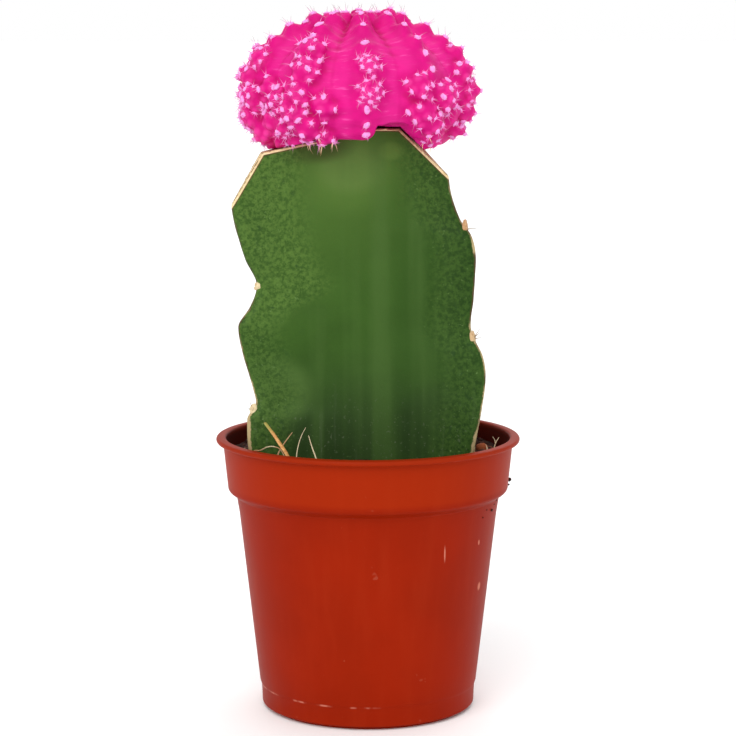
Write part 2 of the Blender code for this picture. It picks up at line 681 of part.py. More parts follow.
def make_litter(group):
    """Straw and root threads that lie on the soil."""
    for name, radius, route in LITTER:
        curve = bpy.data.curves.new(name, "CURVE")
        curve.dimensions = "3D"
        curve.bevel_depth = radius * MM
        curve.bevel_resolution = 1
        curve.use_fill_caps = True
        spline = curve.splines.new("POLY")
        spline.points.add(len(route) - 1)
        for point, (x, y, over) in zip(spline.points, route):
            base = soil_height(x * MM, y * MM) + radius * MM + GAP
            point.co = (x * MM, y * MM, base + over * MM, 1.0)
        thing = place(name + " route", curve, group)
        bm = bmesh.new()
        bm.from_mesh(baked(thing))
        bmesh.ops.remove_doubles(bm, verts=bm.verts, dist=MERGE)
        bmesh.ops.recalc_face_normals(bm, faces=bm.faces)
        litter = place(name, mesh_of(name, bm), group)
        bpy.data.objects.remove(thing, do_unlink=True)
        litter.data.materials.append(material(name + " colour", (0.62, 0.36, 0.13), 0.7))


def main():
    clear_scene()
    parts = collection("potted moon cactus")
    shape = stem_shape()
    make_pot(parts)
    make_soil(parts, shape)
    make_rootstock(parts, shape)
    make_scion(parts, shape)
    make_litter(parts)


main()
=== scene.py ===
"""Looks of the potted moon cactus, built around its plain model. Metres, +Z up, front towards -Y.

Azimuths are in degrees from the front, growing towards +X. Polar angles are in degrees from straight up.
"""
import math
import random

import bmesh
import bpy
from bpy.props import FloatProperty, FloatVectorProperty, IntProperty, PointerProperty
from mathutils import Matrix, Vector, noise
from mathutils.bvhtree import BVHTree
from mathutils.kdtree import KDTree
import numpy as np


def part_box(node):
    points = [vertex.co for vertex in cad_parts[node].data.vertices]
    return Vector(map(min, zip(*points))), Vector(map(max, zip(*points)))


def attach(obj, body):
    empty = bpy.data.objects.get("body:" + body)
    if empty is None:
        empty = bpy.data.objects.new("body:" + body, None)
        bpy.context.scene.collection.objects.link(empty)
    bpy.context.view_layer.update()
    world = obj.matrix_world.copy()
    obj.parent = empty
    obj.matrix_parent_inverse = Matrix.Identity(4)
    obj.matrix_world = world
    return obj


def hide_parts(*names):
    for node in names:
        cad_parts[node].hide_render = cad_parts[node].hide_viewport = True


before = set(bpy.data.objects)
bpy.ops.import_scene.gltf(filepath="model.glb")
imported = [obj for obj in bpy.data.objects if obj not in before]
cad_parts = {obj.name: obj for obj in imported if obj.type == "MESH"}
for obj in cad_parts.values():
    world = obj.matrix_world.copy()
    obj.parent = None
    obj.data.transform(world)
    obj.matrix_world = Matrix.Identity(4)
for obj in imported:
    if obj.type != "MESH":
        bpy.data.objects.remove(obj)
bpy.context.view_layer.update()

bl_info = {
    "name": "Potted Moon Cactus",
    "version": (1, 0, 0),
    "blender": (4, 5, 0),
    "location": "View3D > Sidebar > Moon Cactus",
    "description": "Builds a grafted magenta cactus head on its green stem, in a small nursery pot",
    "category": "Add Mesh",
}

MM = 0.001
POT_LOW, POT_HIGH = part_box("pot")

# Pot: outer radii as shares of the lip's, then its sizes
COLLAR_TOP_SHARE = 0.952
COLLAR_FOOT_SHARE = 0.925
BODY_SHARE = 0.863
BASE_SHARE = 0.706
COLLAR_FOOT = 47.8 * MM
COLLAR_STEP = 1.8 * MM
LIP_ROUNDING = 0.55 * MM
LIP_INNER_ROUNDING = 0.6 * MM
FLOOR = 2.0 * MM
FLOOR_ROUNDING = 0.9 * MM
FOOT_LIFT = 0.65 * MM
FOOT_ROUNDING = 0.5 * MM
FOOT_RING = 3.4 * MM
HUB_RADIUS = 9.5 * MM
CHANNEL = 0.9 * MM
MOULD_LINE = 5.0 * MM
DRAIN_HOLES = 6
DRAIN_RADIUS = 2.4 * MM
OUT_OF_ROUND = 0.0022
# Scuffs on the pot's front as (place in mm, radius in mm, stretch of the distance along X, Y and Z)
POT_SCUFFS = (((23.3, -13.8, 38.3), 0.6, (2.2, 1.0, 0.8)),
              ((15.9, -21.3, 37.8), 1.3, (5.5, 1.0, 0.5)),
              ((23.6, -11.1, 28.2), 0.9, (1.0, 1.0, 0.8)),
              ((21.5, -16.6, 34.2), 0.4, (1.0, 1.0, 1.0)))

# Soil: room to the pot's wall, levels of its side in mm, its foot, how finely it is drawn, room to the stem,
# and sizes of its crumbs in mm
SOIL_CLEARANCE = 0.6 * MM
SOIL_LEVELS = (50.0, 46.5, 44.5, 25.0, 2.6)
SOIL_FOOT = 2.3 * MM
SOIL_SIDES = 132
SOIL_RINGS = 52
STEM_ROOM = 0.15 * MM
CRUMB_SIZES = (0.35, 0.45, 0.6, 0.6, 0.8, 1.1, 1.5)
# The soil in front and at the left, low behind the lip, has only small crumbs pressed into it
LOW_FRONT = -12.0 * MM
LOW_LEFT = -21.0 * MM
LOW_LEFT_BACK = 9.0 * MM
LOW_CRUMB = 0.42 * MM
# Single bits on the soil as (x, y and height over the soil in mm), (half sizes in mm) and tint
SOIL_BITS = (((24.3, -5.2, 1.7), (1.5, 1.2, 1.1), 0.83), ((25.8, -2.6, 0.9), (1.6, 1.2, 1.0), 0.30),
             ((24.6, -8.4, 0.9), (1.3, 1.1, 0.9), 0.60), ((26.9, -4.4, 0.7), (1.3, 0.9, 0.8), 0.81),
             ((23.4, -2.8, 0.9), (1.4, 1.0, 1.0), 0.45), ((27.6, -0.4, 0.5), (0.9, 0.7, 0.5), 0.55),
             ((26.0, 3.8, 0.5), (1.3, 0.9, 0.6), 0.79), ((-8.0, 22.5, 0.5), (1.4, 0.9, 0.6), 0.79),
             ((9.5, 21.5, 0.4), (0.8, 0.7, 0.5), 0.96), ((16.5, 15.5, 0.5), (1.5, 0.8, 0.6), 0.80),
             ((-19.5, 14.0, 0.5), (1.3, 0.7, 0.5), 0.78), ((2.5, -22.5, 0.4), (0.9, 0.7, 0.5), 0.95),
             ((-21.0, -13.0, 0.5), (1.2, 0.8, 0.6), 0.80), ((14.5, -20.0, 0.4), (1.4, 0.8, 0.5), 0.78))
# Crumbs stuck to the collar as (azimuth, height in mm, size in mm)
COLLAR_CRUMBS = ((90.0, 49.1, 0.52), (86.0, 48.4, 0.26), (83.0, 46.6, 0.42), (80.0, 46.3, 0.30),
                 (69.0, 44.4, 0.34), (66.0, 46.5, 0.22), (72.0, 45.4, 0.20), (63.0, 45.0, 0.18),
                 (75.0, 46.0, 0.24), (60.0, 43.6, 0.16))

# Stem: its axis and where its left, right and back rib point, in degrees from the X axis
STEM_AXIS = Vector((-1.5, 0.0, 0.0)) * MM
RIB_TURNS = (210.0, 330.0, 90.0)

# Margins of the stem's left, right and back rib as (height, reach from the axis) in mm
LEFT_MARGIN = ((126.0, 30.6), (108.0, 30.5), (98.0, 27.4), (92.4, 24.9), (88.0, 26.5), (84.0, 29.3),
               (77.5, 28.1), (71.0, 26.0), (67.8, 25.2), (64.4, 27.3), (58.0, 27.0), (50.0, 25.4))
RIGHT_MARGIN = ((126.0, 19.0), (115.8, 20.9), (111.0, 21.6), (106.0, 23.7), (103.0, 26.2), (97.8, 27.4),
                (90.0, 27.0), (84.0, 26.2), (81.0, 27.3), (78.0, 29.1), (74.0, 29.9), (69.0, 29.5),
                (58.0, 27.3), (50.0, 25.8))
BACK_MARGIN = ((126.0, 25.0), (112.0, 26.0), (101.0, 23.6), (96.0, 26.4), (80.0, 24.4), (75.5, 27.0),
               (61.0, 25.4), (50.0, 24.0))
BURIED_TAPER = ((54.0, 1.0), (45.0, 0.84), (34.0, 0.68), (24.0, 0.56))
STEM_FOOT = 24.0
STEM_CROWN = 127.0
# Section in mm: reach of the valleys, which lie 60 degrees from their ribs, half thickness of a margin, the
# share of a flank that rounds it, and the powers by which a flank widens and its points crowd to the margin
VALLEY = 11.6
VALLEY_OUT = 0.5
VALLEY_ASIDE = 0.866
EDGE = 1.25
EDGE_SHARE = 0.06
FLANK_CURVE = 1.4
FLANK_CROWDING = 2.2
CALLUS = 0.5 * MM
# Flat cuts on top of the stem: two points on each in mm and how far it turns from the Y axis, in degrees
CUTS = (((-22.0, -12.0, 120.0), (1.7, -8.6, 124.9), 0.0),
        ((1.7, -8.6, 124.9), (6.9, -8.0, 124.85), 0.0),
        ((-22.0, -11.7, 120.0), (-27.9, -15.1, 110.3), -5.0),
        ((6.9, -5.0, 124.85), (16.7, -10.5, 115.4), 4.0),
        ((-1.5, 15.0, 123.4), (-1.5, 24.5, 113.0), 90.0))
# Areoles of the stem as (rib, height, half depth and half height in mm, tint, spines); each spine as its
# rise, its lean to one side and its length in mm
STEM_AREOLES = ((0, 92.4, 0.8, 1.0, 1.0, ()),
                (0, 66.2, 0.9, 1.5, 1.0, ((2.5, 0.3, 2.3), (0.6, -0.5, 1.2))),
                (1, 104.2, 0.6, 2.0, 0.0, ((0.1, -0.1, 2.8),)),
                (1, 81.4, 0.7, 1.7, 0.4, ((1.6, 0.2, 2.8), (0.9, -0.3, 2.4), (0.2, 0.3, 1.8))),
                (2, 99.0, 0.9, 1.8, 0.6, ((0.8, 0.4, 2.2), (0.1, -0.5, 1.8))),
                (2, 78.2, 0.9, 1.8, 0.6, ((0.5, -0.4, 2.4), (-0.3, 0.5, 1.6))))
STEM_SPINE_RADIUS = 0.13 * MM
# Lighter and darker parts of the stem's skin as (place in mm, radius in mm, stretch, strength, colour); the
# dark one just under the head's front edge is a painted shadow, and the dark one low at the right is painted
# shade
STEM_PATCHES_AND_SHADE = (((-4.0, -9.0, 118.0), 13.0, (1.0, 0.3, 1.0), 0.45, (0.085, 0.165, 0.030)),
                ((-3.5, -9.0, 117.0), 9.0, (1.0, 0.3, 1.3), 0.30, (0.135, 0.210, 0.058)),
                ((-21.0, -12.0, 90.0), 8.0, (1.2, 0.6, 0.8), 0.30, (0.078, 0.155, 0.030)),
                ((-19.5, -13.0, 70.0), 10.0, (1.0, 0.6, 1.1), 0.60, (0.078, 0.150, 0.034)),
                ((-24.0, -14.0, 103.0), 8.0, (1.0, 0.6, 0.8), 0.55, (0.030, 0.072, 0.014)),
                # Painted shadow under the head's front edge
                ((-13.0, -10.5, 121.5), 7.0, (0.6, 0.4, 1.5), 0.60, (0.034, 0.034, 0.010)),
                # Painted shade, low at the stem's right
                ((15.0, -11.0, 62.0), 11.0, (1.0, 0.5, 0.9), 0.55, (0.014, 0.030, 0.009)),
                ((4.6, -11.6, 120.2), 2.8, (0.8, 0.2, 1.2), 0.40, (0.120, 0.200, 0.040)))
# Parts of the margins that are broad and corky, as (place in mm, radius in mm)
CORKY_MARGINS = (((-24.4, -13.4, 58.5), 8.0), ((22.6, -13.4, 57.0), 6.0), ((24.0, -14.6, 101.0), 3.5))

# Head: its centre, the number of its ribs and the azimuth of the first
HEAD_CENTRE = Vector((-2.3, 0.0, 132.5)) * MM
HEAD_RIBS = 10
FIRST_RIB = 5.0
# Pups on the front ribs as (polar, azimuth off the rib, radius in mm); the others follow a rule
FRONT_PUPS = {0: ((76.5, 1, 2.5), (90, 1.5, 2.7)),
              -1: ((67, 3, 2.9), (78, 4, 3.3), (90, 1, 3.1), (100, -2, 3.3), (108, 3, 3.0),
                   (98, 13, 2.6), (95, -13, 3.1), (108, -13, 3.0), (115, 11, 2.2), (117, -9, 2.5)),
              1: ((88, -7, 2.8), (93, 9, 3.7), (100, -5, 2.7), (106, 1, 2.8), (112, 9, 2.6),
                  (104, 19, 2.7), (119, 17, 2.8)),
              -2: ((73, 1, 2.8), (83, -3, 3.0), (93, 3, 3.1), (103, -2, 3.2), (112, 2, 3.1),
                   (89, 14, 2.6), (106, 14, 2.8), (98, -14, 2.7), (118, 11, 2.7), (120, -2, 2.5),
                   (117, -19, 2.9)),
              2: ((70, 1, 2.4), (80, -3, 2.7), (90, 2, 3.0), (100, -2, 2.7), (110, -3, 2.2),
                  (87, 13, 2.5), (104, -14, 2.4)),
              -3: ((70, -1, 2.5), (82, 2, 2.9), (93, -2, 3.2), (104, 2, 3.1), (113, -1, 2.9),
                   (97, 13, 2.7), (88, -14, 2.6), (114, 13, 3.0)),
              3: ((72, 1, 2.5), (83, -2, 2.8), (94, 2, 3.0), (105, -1, 2.4), (90, -13, 2.6),
                  (102, 14, 2.5))}
CREST_ROWS = (74, 88, 101, 113)
SIDE_ROWS = (87, 105)
PUP_RADII = (2.6, 3.5)
SIDE_PUP_RADII = (2.5, 3.2)
SIDE_PUP_OFFSETS = (11, 15)
PUP_SINK = 0.42
# Power of the head's round over and under its widest level
HEAD_ROUNDNESS = (2.0, 2.4)
# Hollow underside: its depth at the axis and at its rim, and how far it rises in front and over the notch
SEAT_DEPTH = 9.1 * MM
RIM_DEPTH = 12.6 * MM
RIM_POLAR = 123.0
UNDER_POLAR = 100.0
FRONT_LIFT = 3.0 * MM
LIFT_START = 0.1
LIFT_SPAN = 0.7
NOTCH_LIFT = 3.0 * MM
NOTCH_AZIMUTH = 22.0
NOTCH_SPREAD = 12.0
# Grooves: how they fade towards the crown, their share of depth low down and where that sets in
RIB_FADE = 0.6
LOW_RIB_SHARE = 0.5
LOW_RIBS = (45.0, 85.0)
# Polar angles of areoles on every rib's crown and on single ribs' crests
CROWN_AREOLES = (16, 33, 49)
CREST_AREOLES = {0: (63, 97.5, 105, 110.5), -1: (57,), 1: (61, 70, 79)}
SIDE_CREST = (61,)
# Heights in mm of the knobs on the crests by polar angle, and single knobs as (azimuth, polar, height)
CREST_KNOBS = {16: 1.1, 33: 1.8, 49: 1.5, 61: 1.3}
CREST_KNOB = 0.7
CROWN_PEAKS = ((82, 24, 2.3), (95, 37, 3.0), (172, 9, 1.6), (-88, 29, 1.3), (-60, 42, 1.2))
# Rings of areoles on a pup as (tilt from its axis, how many), for scattered and for crowded pups
LOOSE_RINGS = ((32.0, 5), (60.0, 9), (84.0, 12))
TIGHT_RINGS = ((34.0, 6), (64.0, 10), (88.0, 12))
LOOSE_SPACING = 1.62 * MM
TIGHT_SPACING = 1.28 * MM
# Where the head has to stay over the stem's front corners, and how far
RIGHT_CORNER = -8.5 * MM
LEFT_CORNER = -11.6 * MM
RIGHT_CORNER_GAP = 0.25 * MM
SIGHT_SLOPE = 0.06
HEAD_GAP = 0.12 * MM
# Dimple in each areole's knob, and the creases across the ribs' flanks
DIMPLE_DEPTH = 0.18 * MM
DIMPLE_WIDTH = 0.5 * MM
CREASE_DEPTH = 0.09 * MM
CREASES = 46.0
# Where spines hang from the head's lower front edge: under a height, before a place, beside the axis
HANGING_ZONE = (124.5 * MM, -7.0 * MM, 13.0 * MM)
PUP_SEED = 11
SPINE_SEED = 5
SOIL_SEED = 3

# Straw and root threads on the soil: radius in mm and route as (x, y, height over the soil) in mm
STRAW = (0.5, ((-15.4, -24.1, 0.0), (-16.8, -23.0, 2.7), (-18.1, -21.8, 4.5), (-19.4, -20.6, 6.3),
               (-21.3, -18.6, 8.6)))
ROOT_THREADS = (
    (0.20, ((-24.6, -12.4, 0.2), (-23.8, -15.2, 2.5), (-22.4, -17.0, 2.9), (-20.9, -18.2, 3.7),
            (-19.4, -19.3, 3.9), (-17.9, -20.9, 3.3), (-16.6, -22.6, 0.8))),
    (0.20, ((-19.2, -20.6, 0.0), (-18.5, -19.7, 2.6), (-17.3, -18.6, 4.5), (-15.7, -17.5, 6.5))),
    (0.16, ((-9.9, -25.2, 0.0), (-10.7, -23.2, 2.2), (-11.6, -21.0, 4.2), (-12.3, -19.0, 6.1))),
    (0.11, ((-14.9, -22.6, 0.0), (-14.6, -21.0, 3.3), (-13.9, -19.4, 5.8), (-12.9, -18.0, 7.7))),
    (0.14, ((26.2, -7.2, 0.2), (26.8, -6.0, 1.9), (27.3, -4.9, 3.0), (27.9, -3.9, 3.8))),
    (0.11, ((27.1, -5.4, 2.5), (27.0, -4.6, 3.3), (26.6, -4.0, 4.0))),
    (0.20, ((22.1, -12.8, 0.0), (22.3, -12.3, 1.5), (22.4, -11.9, 2.6))),
    (0.13, ((24.8, -9.4, 0.0), (25.2, -8.2, 1.6), (25.0, -7.0, 2.6))),
    (0.12, ((-25.6, -9.0, 0.0), (-26.4, -6.0, 0.9), (-26.6, -2.0, 0.7), (-25.6, 1.6, 0.1))))

# Lamps as (name, way towards it, spread in degrees, power, colour)
LAMPS = (("key", (-0.30, -0.85, 0.75), 50.0, 1.90, (1.0, 0.985, 0.97)),
         ("fill", (0.80, -0.50, 0.60), 70.0, 0.42, (0.97, 0.98, 1.0)),
         ("back", (0.10, 0.70, 0.80), 60.0, 1.05, (1.0, 1.0, 1.0)))

# Tones that the materials mix into the colours of the settings
# The inside tone is painted shade for the pot's hardly lit inner wall
POT_TONES = {"flow mark": (0.31, 0.022, 0.004), "dust": (0.62, 0.24, 0.15), "pale mould line": (0.70, 0.26, 0.18),
             # collar is painted light that lightens the whole collar band
             "collar": (0.34, 0.022, 0.0012), "lip": (0.20, 0.018, 0.004), "inside": (0.060, 0.006, 0.003),
             "scuff": (0.72, 0.28, 0.19)}
SOIL_TONES = {"fibre": (0.13, 0.050, 0.025), "speck": (0.30, 0.20, 0.12), "brown": (0.115, 0.036, 0.018),
              "bark": (0.30, 0.075, 0.028), "grain": (0.72, 0.60, 0.44)}
# In the stem's tones, shade is painted shade for the stem's right side
STEM_TONES = {"olive": (0.062, 0.128, 0.021), "foot": (0.018, 0.035, 0.011), "shade": (0.017, 0.048, 0.006),
              "band": (0.055, 0.112, 0.024), "pale speck": (0.13, 0.22, 0.07),
              "dark speck": (0.018, 0.048, 0.012), "dust": (0.13, 0.16, 0.10), "run": (0.09, 0.12, 0.07),
              "green horn": (0.050, 0.060, 0.020), "cut line": (0.10, 0.050, 0.022)}
# Two tones between which the mottling and the cork of the margins waver
WING_TONES = ((0.030, 0.072, 0.012), (0.084, 0.160, 0.030))
# Tones of the wing under the painted shade at the stem's right side
SHADED_WING_TONES = ((0.010, 0.030, 0.005), (0.032, 0.074, 0.012))
LOW_WING_TONES = ((0.018, 0.048, 0.008), (0.046, 0.098, 0.018))
CORK_TONES = ((0.085, 0.050, 0.024), (0.40, 0.31, 0.16))
FLESH_TONES = {"blotch": (0.42, 0.24, 0.09), "fibre": (0.93, 0.83, 0.58), "rim": (0.115, 0.056, 0.026)}
# The hollow tone is painted shade for the creases between the head's pups
HEAD_TONES = {"flank": (0.70, 0.018, 0.25), "streak": (0.88, 0.14, 0.48), "hollow": (0.40, 0.0012, 0.085),
              "halo": (0.82, 0.07, 0.36)}
# Light and shaded tone of the stem's wool; tone of the spines at their root and at their tip
STEM_WOOL_TONES = ((0.70, 0.60, 0.36), (0.38, 0.17, 0.06))
STEM_SPINE_TONES = ((0.30, 0.22, 0.15), (0.05, 0.030, 0.020))
HEAD_SPINE_TONES = ((0.88, 0.30, 0.66), (0.30, 0.17, 0.19))
HANGING_SPINE_TONES = ((0.80, 0.52, 0.36), (0.40, 0.22, 0.10))
STRAW_TONES = {"dark": (0.44, 0.18, 0.045), "light": (0.66, 0.36, 0.12), "tip": (0.26, 0.27, 0.05)}
THREAD_TONES = ((0.58, 0.47, 0.30), (0.38, 0.20, 0.09))


class PotSettings(bpy.types.PropertyGroup):
    """Sizes and colour of the nursery pot."""
    sides: IntProperty(name="Sides", description="Steps of the turned pot", default=160, min=24)
    height: FloatProperty(name="Height", description="From the foot to the top of the lip",
                          default=POT_HIGH.z - POT_LOW.z, unit="LENGTH")
    lip_radius: FloatProperty(name="Lip radius", description="Outer radius of the rolled lip",
                              default=POT_HIGH.x, unit="LENGTH")
    wall: FloatProperty(name="Wall", description="Thickness of the plastic", default=0.6 * MM, unit="LENGTH")
    plastic: FloatVectorProperty(name="Plastic", description="Colour of the plastic", subtype="COLOR",
                                 size=3, default=(0.272, 0.0125, 0.0008))


class SoilSettings(bpy.types.PropertyGroup):
    """Relief and colour of the peat."""
    top: FloatProperty(name="Level", description="Height of the soil", default=55.4 * MM, unit="LENGTH")
    relief: FloatProperty(name="Relief", description="Height of its low mounds", default=0.45 * MM,
                          unit="LENGTH")
    crumbs: IntProperty(name="Crumbs", description="Loose crumbs on top", default=900, min=0)
    peat: FloatVectorProperty(name="Peat", description="Colour of the peat", subtype="COLOR", size=3,
                              default=(0.030, 0.011, 0.008))


class StemSettings(bpy.types.PropertyGroup):
    """Fineness and colours of the green stem."""
    level_step: FloatProperty(name="Level step", description="Height between two rings of the skin",
                              default=0.5 * MM, unit="LENGTH")
    flank_steps: IntProperty(name="Flank steps", description="Points from a margin to a valley", default=26)
    skin: FloatVectorProperty(name="Skin", description="Colour of the green skin", subtype="COLOR", size=3,
                              default=(0.034, 0.085, 0.0120))
    flesh: FloatVectorProperty(name="Cut flesh", description="Colour of the dried cuts", subtype="COLOR",
                               size=3, default=(0.72, 0.56, 0.30))


class HeadSettings(bpy.types.PropertyGroup):
    """Sizes and colours of the grafted head."""
    radius: FloatProperty(name="Radius", description="Radius over the ribs", default=24.0 * MM, unit="LENGTH")
    rise: FloatProperty(name="Rise", description="Height over its widest level", default=15.6 * MM,
                        unit="LENGTH")
    drop: FloatProperty(name="Drop", description="Depth under its widest level", default=15.4 * MM,
                        unit="LENGTH")
    rib_depth: FloatProperty(name="Rib depth", description="Depth of the grooves", default=3.0 * MM,
                             unit="LENGTH")
    grain: FloatProperty(name="Grain", description="Size of the skin's faces", default=0.36 * MM,
                         unit="LENGTH")
    spine_length: FloatProperty(name="Spine length", description="Length of the longest spines",
                                default=2.3 * MM, unit="LENGTH")
    skin: FloatVectorProperty(name="Skin", description="Colour of the magenta skin", subtype="COLOR",
                              size=3, default=(0.62, 0.0030, 0.190))
    wool: FloatVectorProperty(name="Wool", description="Colour of the areoles' wool", subtype="COLOR",
                              size=3, default=(0.95, 0.34, 0.80))


class StageSettings(bpy.types.PropertyGroup):
    """Camera and light."""
    lens: FloatProperty(name="Lens", description="Focal length in mm", default=119.2, min=1.0)
    eye_height: FloatProperty(name="Eye height", description="Height of the camera", default=146.2 * MM,
                              unit="LENGTH")
    distance: FloatProperty(name="Distance", description="Camera to the pot's axis", default=516.3 * MM,
                            unit="LENGTH")
    pitch: FloatProperty(name="Pitch", description="How far the camera looks down",
                         default=math.radians(8.03), subtype="ANGLE")
    ambient: FloatProperty(name="Ambient", description="Light from overhead, beside the white horizon",
                           default=0.62, min=0.0)
    floor: FloatVectorProperty(name="Floor", description="Colour of the floor", subtype="COLOR", size=3,
                               default=(0.96, 0.96, 0.96))


class Wire:
    """A shader socket that takes part in Python arithmetic: each operation adds a Math node."""

    def __init__(self, paint, socket):
        self.paint = paint
        self.socket = socket

    def __add__(self, other):
        return self.paint.math("ADD", self, other)

    def __sub__(self, other):
        return self.paint.math("SUBTRACT", self, other)

    def __rsub__(self, other):
        return self.paint.math("SUBTRACT", other, self)

    def __mul__(self, other):
        return self.paint.math("MULTIPLY", self, other)

    def __abs__(self):
        return self.paint.math("ABSOLUTE", self)

    __radd__ = __add__
    __rmul__ = __mul__


class Paint:
    """A material, or the world, whose nodes are added one after another."""

    def __init__(self, name, kind="materials"):
        self.owner = getattr(bpy.data, kind).new(name)
        self.owner.use_nodes = True
        self.tree = self.owner.node_tree
        self.tree.nodes.clear()
        self.place = self.node("TexCoord", output="Object")

    def node(self, kind, settings=None, inputs=None, output=0):
        """Adds a node, sets it up, feeds its sockets and returns one of its outputs."""
        made = self.tree.nodes.new("ShaderNode" + kind)
        for name, value in (settings or {}).items():
            setattr(made, name, value)
        for name, value in (inputs or {}).items():
            if isinstance(value, Wire):
                self.tree.links.new(value.socket, made.inputs[name])
            else:
                made.inputs[name].default_value = value
        return Wire(self, made.outputs[output]) if made.outputs else made

    def math(self, operation, first, second=0.0):
        return self.node("Math", {"operation": operation}, {0: first, 1: second})

    def vector(self, operation, first, second=(0.0, 0.0, 0.0), output="Vector"):
        return self.node("VectorMath", {"operation": operation}, {0: first, 1: second}, output)

    def noise(self, scale, detail=3.0, roughness=0.5, place=None):
        return self.node("TexNoise", None, {"Vector": place or self.place, "Scale": scale, "Detail": detail,
                                            "Roughness": roughness})

    def fibres(self, scale, detail=3.0, roughness=0.6):
        """Noise drawn out along X, Y or Z, by its scale along each of them."""
        drawn_out = self.node("Mapping", None, {"Vector": self.place, "Scale": scale})
        return self.noise(1.0, detail, roughness, drawn_out)

    def mask(self, value, low, high):
        """0 below one value, 1 above the other, smooth between them."""
        return self.node("MapRange", {"interpolation_type": "SMOOTHSTEP"},
                         {"Value": value, "From Min": low, "From Max": high})

    def fade(self, value, low, high):
        """1 below one value, 0 above the other, smooth between them."""
        return 1.0 - self.mask(value, low, high)

    def attribute(self, name):
        return self.node("Attribute", {"attribute_name": name}, None, "Fac")

    def axis(self, letter):
        return self.node("SeparateXYZ", None, {0: self.place}, letter)

    def near(self, spot, radius, squash):
        """1 at a spot on the piece, falling to 0 at a radius, both in mm; squash stretches the distance."""
        moved = self.vector("SUBTRACT", self.place, in_metres(spot))
        far = self.vector("LENGTH", self.vector("MULTIPLY", moved, squash), output="Value")
        return self.fade(far, radius * 0.5 * MM, radius * MM)

    def blend(self, factor, first, second, mode="MIX"):
        colours = [value if isinstance(value, Wire) else (*value, 1.0) for value in (first, second)]
        return self.node("Mix", {"data_type": "RGBA", "blend_type": mode},
                         {0: factor, 6: colours[0], 7: colours[1]}, 2)

    def beyond(self, through, normal):
        """How far the surface lies beyond a plane."""
        moved = self.vector("SUBTRACT", self.place, through)
        return self.vector("DOT_PRODUCT", moved, normal, "Value")

    def bump(self, height, distance, strength=1.0, normal=None):
        inputs = {"Height": height, "Distance": distance, "Strength": strength}
        if normal is not None:
            inputs["Normal"] = normal
        return self.node("Bump", None, inputs)

    def finish(self, **inputs):
        """Adds the shader and returns the material; an underscore stands for a space in a socket's name."""
        named = {name.replace("_", " "): value for name, value in inputs.items()}
        shader = self.node("BsdfPrincipled", None, named)
        self.node("OutputMaterial", None, {"Surface": shader})
        return self.owner


def in_metres(lengths):
    """Lengths given in mm, in metres."""
    return [length * MM for length in lengths]


def shaded(colour, share):
    """A colour made darker, or lighter by a share over 1."""
    return [channel * share for channel in colour]


def sized(x, y, z):
    """A matrix that scales along X, Y and Z."""
    return Matrix.Diagonal((x, y, z, 1.0))


def mesh_of(name, bm):
    """A mesh of what a bmesh holds; the bmesh is freed."""
    mesh = bpy.data.meshes.new(name)
    bm.to_mesh(mesh)
    bm.free()
    return mesh


def new_piece(name, bm, paint, nodes=()):
    """Makes a finished object of a bmesh: smooth, painted, riding on the plant's one body."""
    mesh = mesh_of(name, bm)
    mesh.shade_smooth()
    piece = bpy.data.objects.new(name, mesh)
    bpy.context.scene.collection.objects.link(piece)
    mesh.materials.append(paint)
    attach(piece, "root")
    if nodes:
        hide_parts(*nodes)
    return piece


def apply_modifiers(piece):
    graph = bpy.context.evaluated_depsgraph_get()
    graph.update()
    mesh = bpy.data.meshes.new_from_object(piece.evaluated_get(graph))
    piece.modifiers.clear()
    piece.data = mesh


def store(mesh, name, values):
    """Keeps one number for each vertex of a mesh, for its material to read."""
    layer = mesh.attributes.new(name, "FLOAT", "POINT")
    layer.data.foreach_set("value", np.asarray(values, dtype=np.float32))


def vectors(mesh, kind="co"):
    """The places of a mesh's vertices, or another vector of theirs, as an array."""
    flat = np.zeros(len(mesh.vertices) * 3)
    mesh.vertices.foreach_get(kind, flat)
    return flat.reshape(-1, 3)


def smooth_step(values, low, high):
    t = np.clip((np.asarray(values, dtype=float) - low) / (high - low), 0.0, 1.0)
    return t * t * (3 - 2 * t)


def arc(across, height, rounding, start, end, steps):
    """Points of an arc in the profile plane, between two angles in degrees."""
    turn = [math.radians(start + (end - start) * step / steps) for step in range(steps + 1)]
    return [(across + rounding * math.cos(a), height + rounding * math.sin(a)) for a in turn]


def only(kind, parts):
    """The vertices, edges or faces among the parts that an operator returns."""
    return [part for part in parts if isinstance(part, kind)]


def turned(profile, sides):
    """A bmesh turned about the Z axis from a profile of (radius, height) points."""
    bm = bmesh.new()
    points = [bm.verts.new((radius, 0.0, height)) for radius, height in profile]
    edges = [bm.edges.new(pair) for pair in zip(points, points[1:])]
    bmesh.ops.spin(bm, geom=points + edges, cent=(0, 0, 0), axis=(0, 0, 1), dvec=(0, 0, 0),
                   angle=math.tau, steps=sides, use_merge=True)
    bmesh.ops.remove_doubles(bm, verts=bm.verts, dist=0.001 * MM)
    bmesh.ops.recalc_face_normals(bm, faces=bm.faces)
    return bm


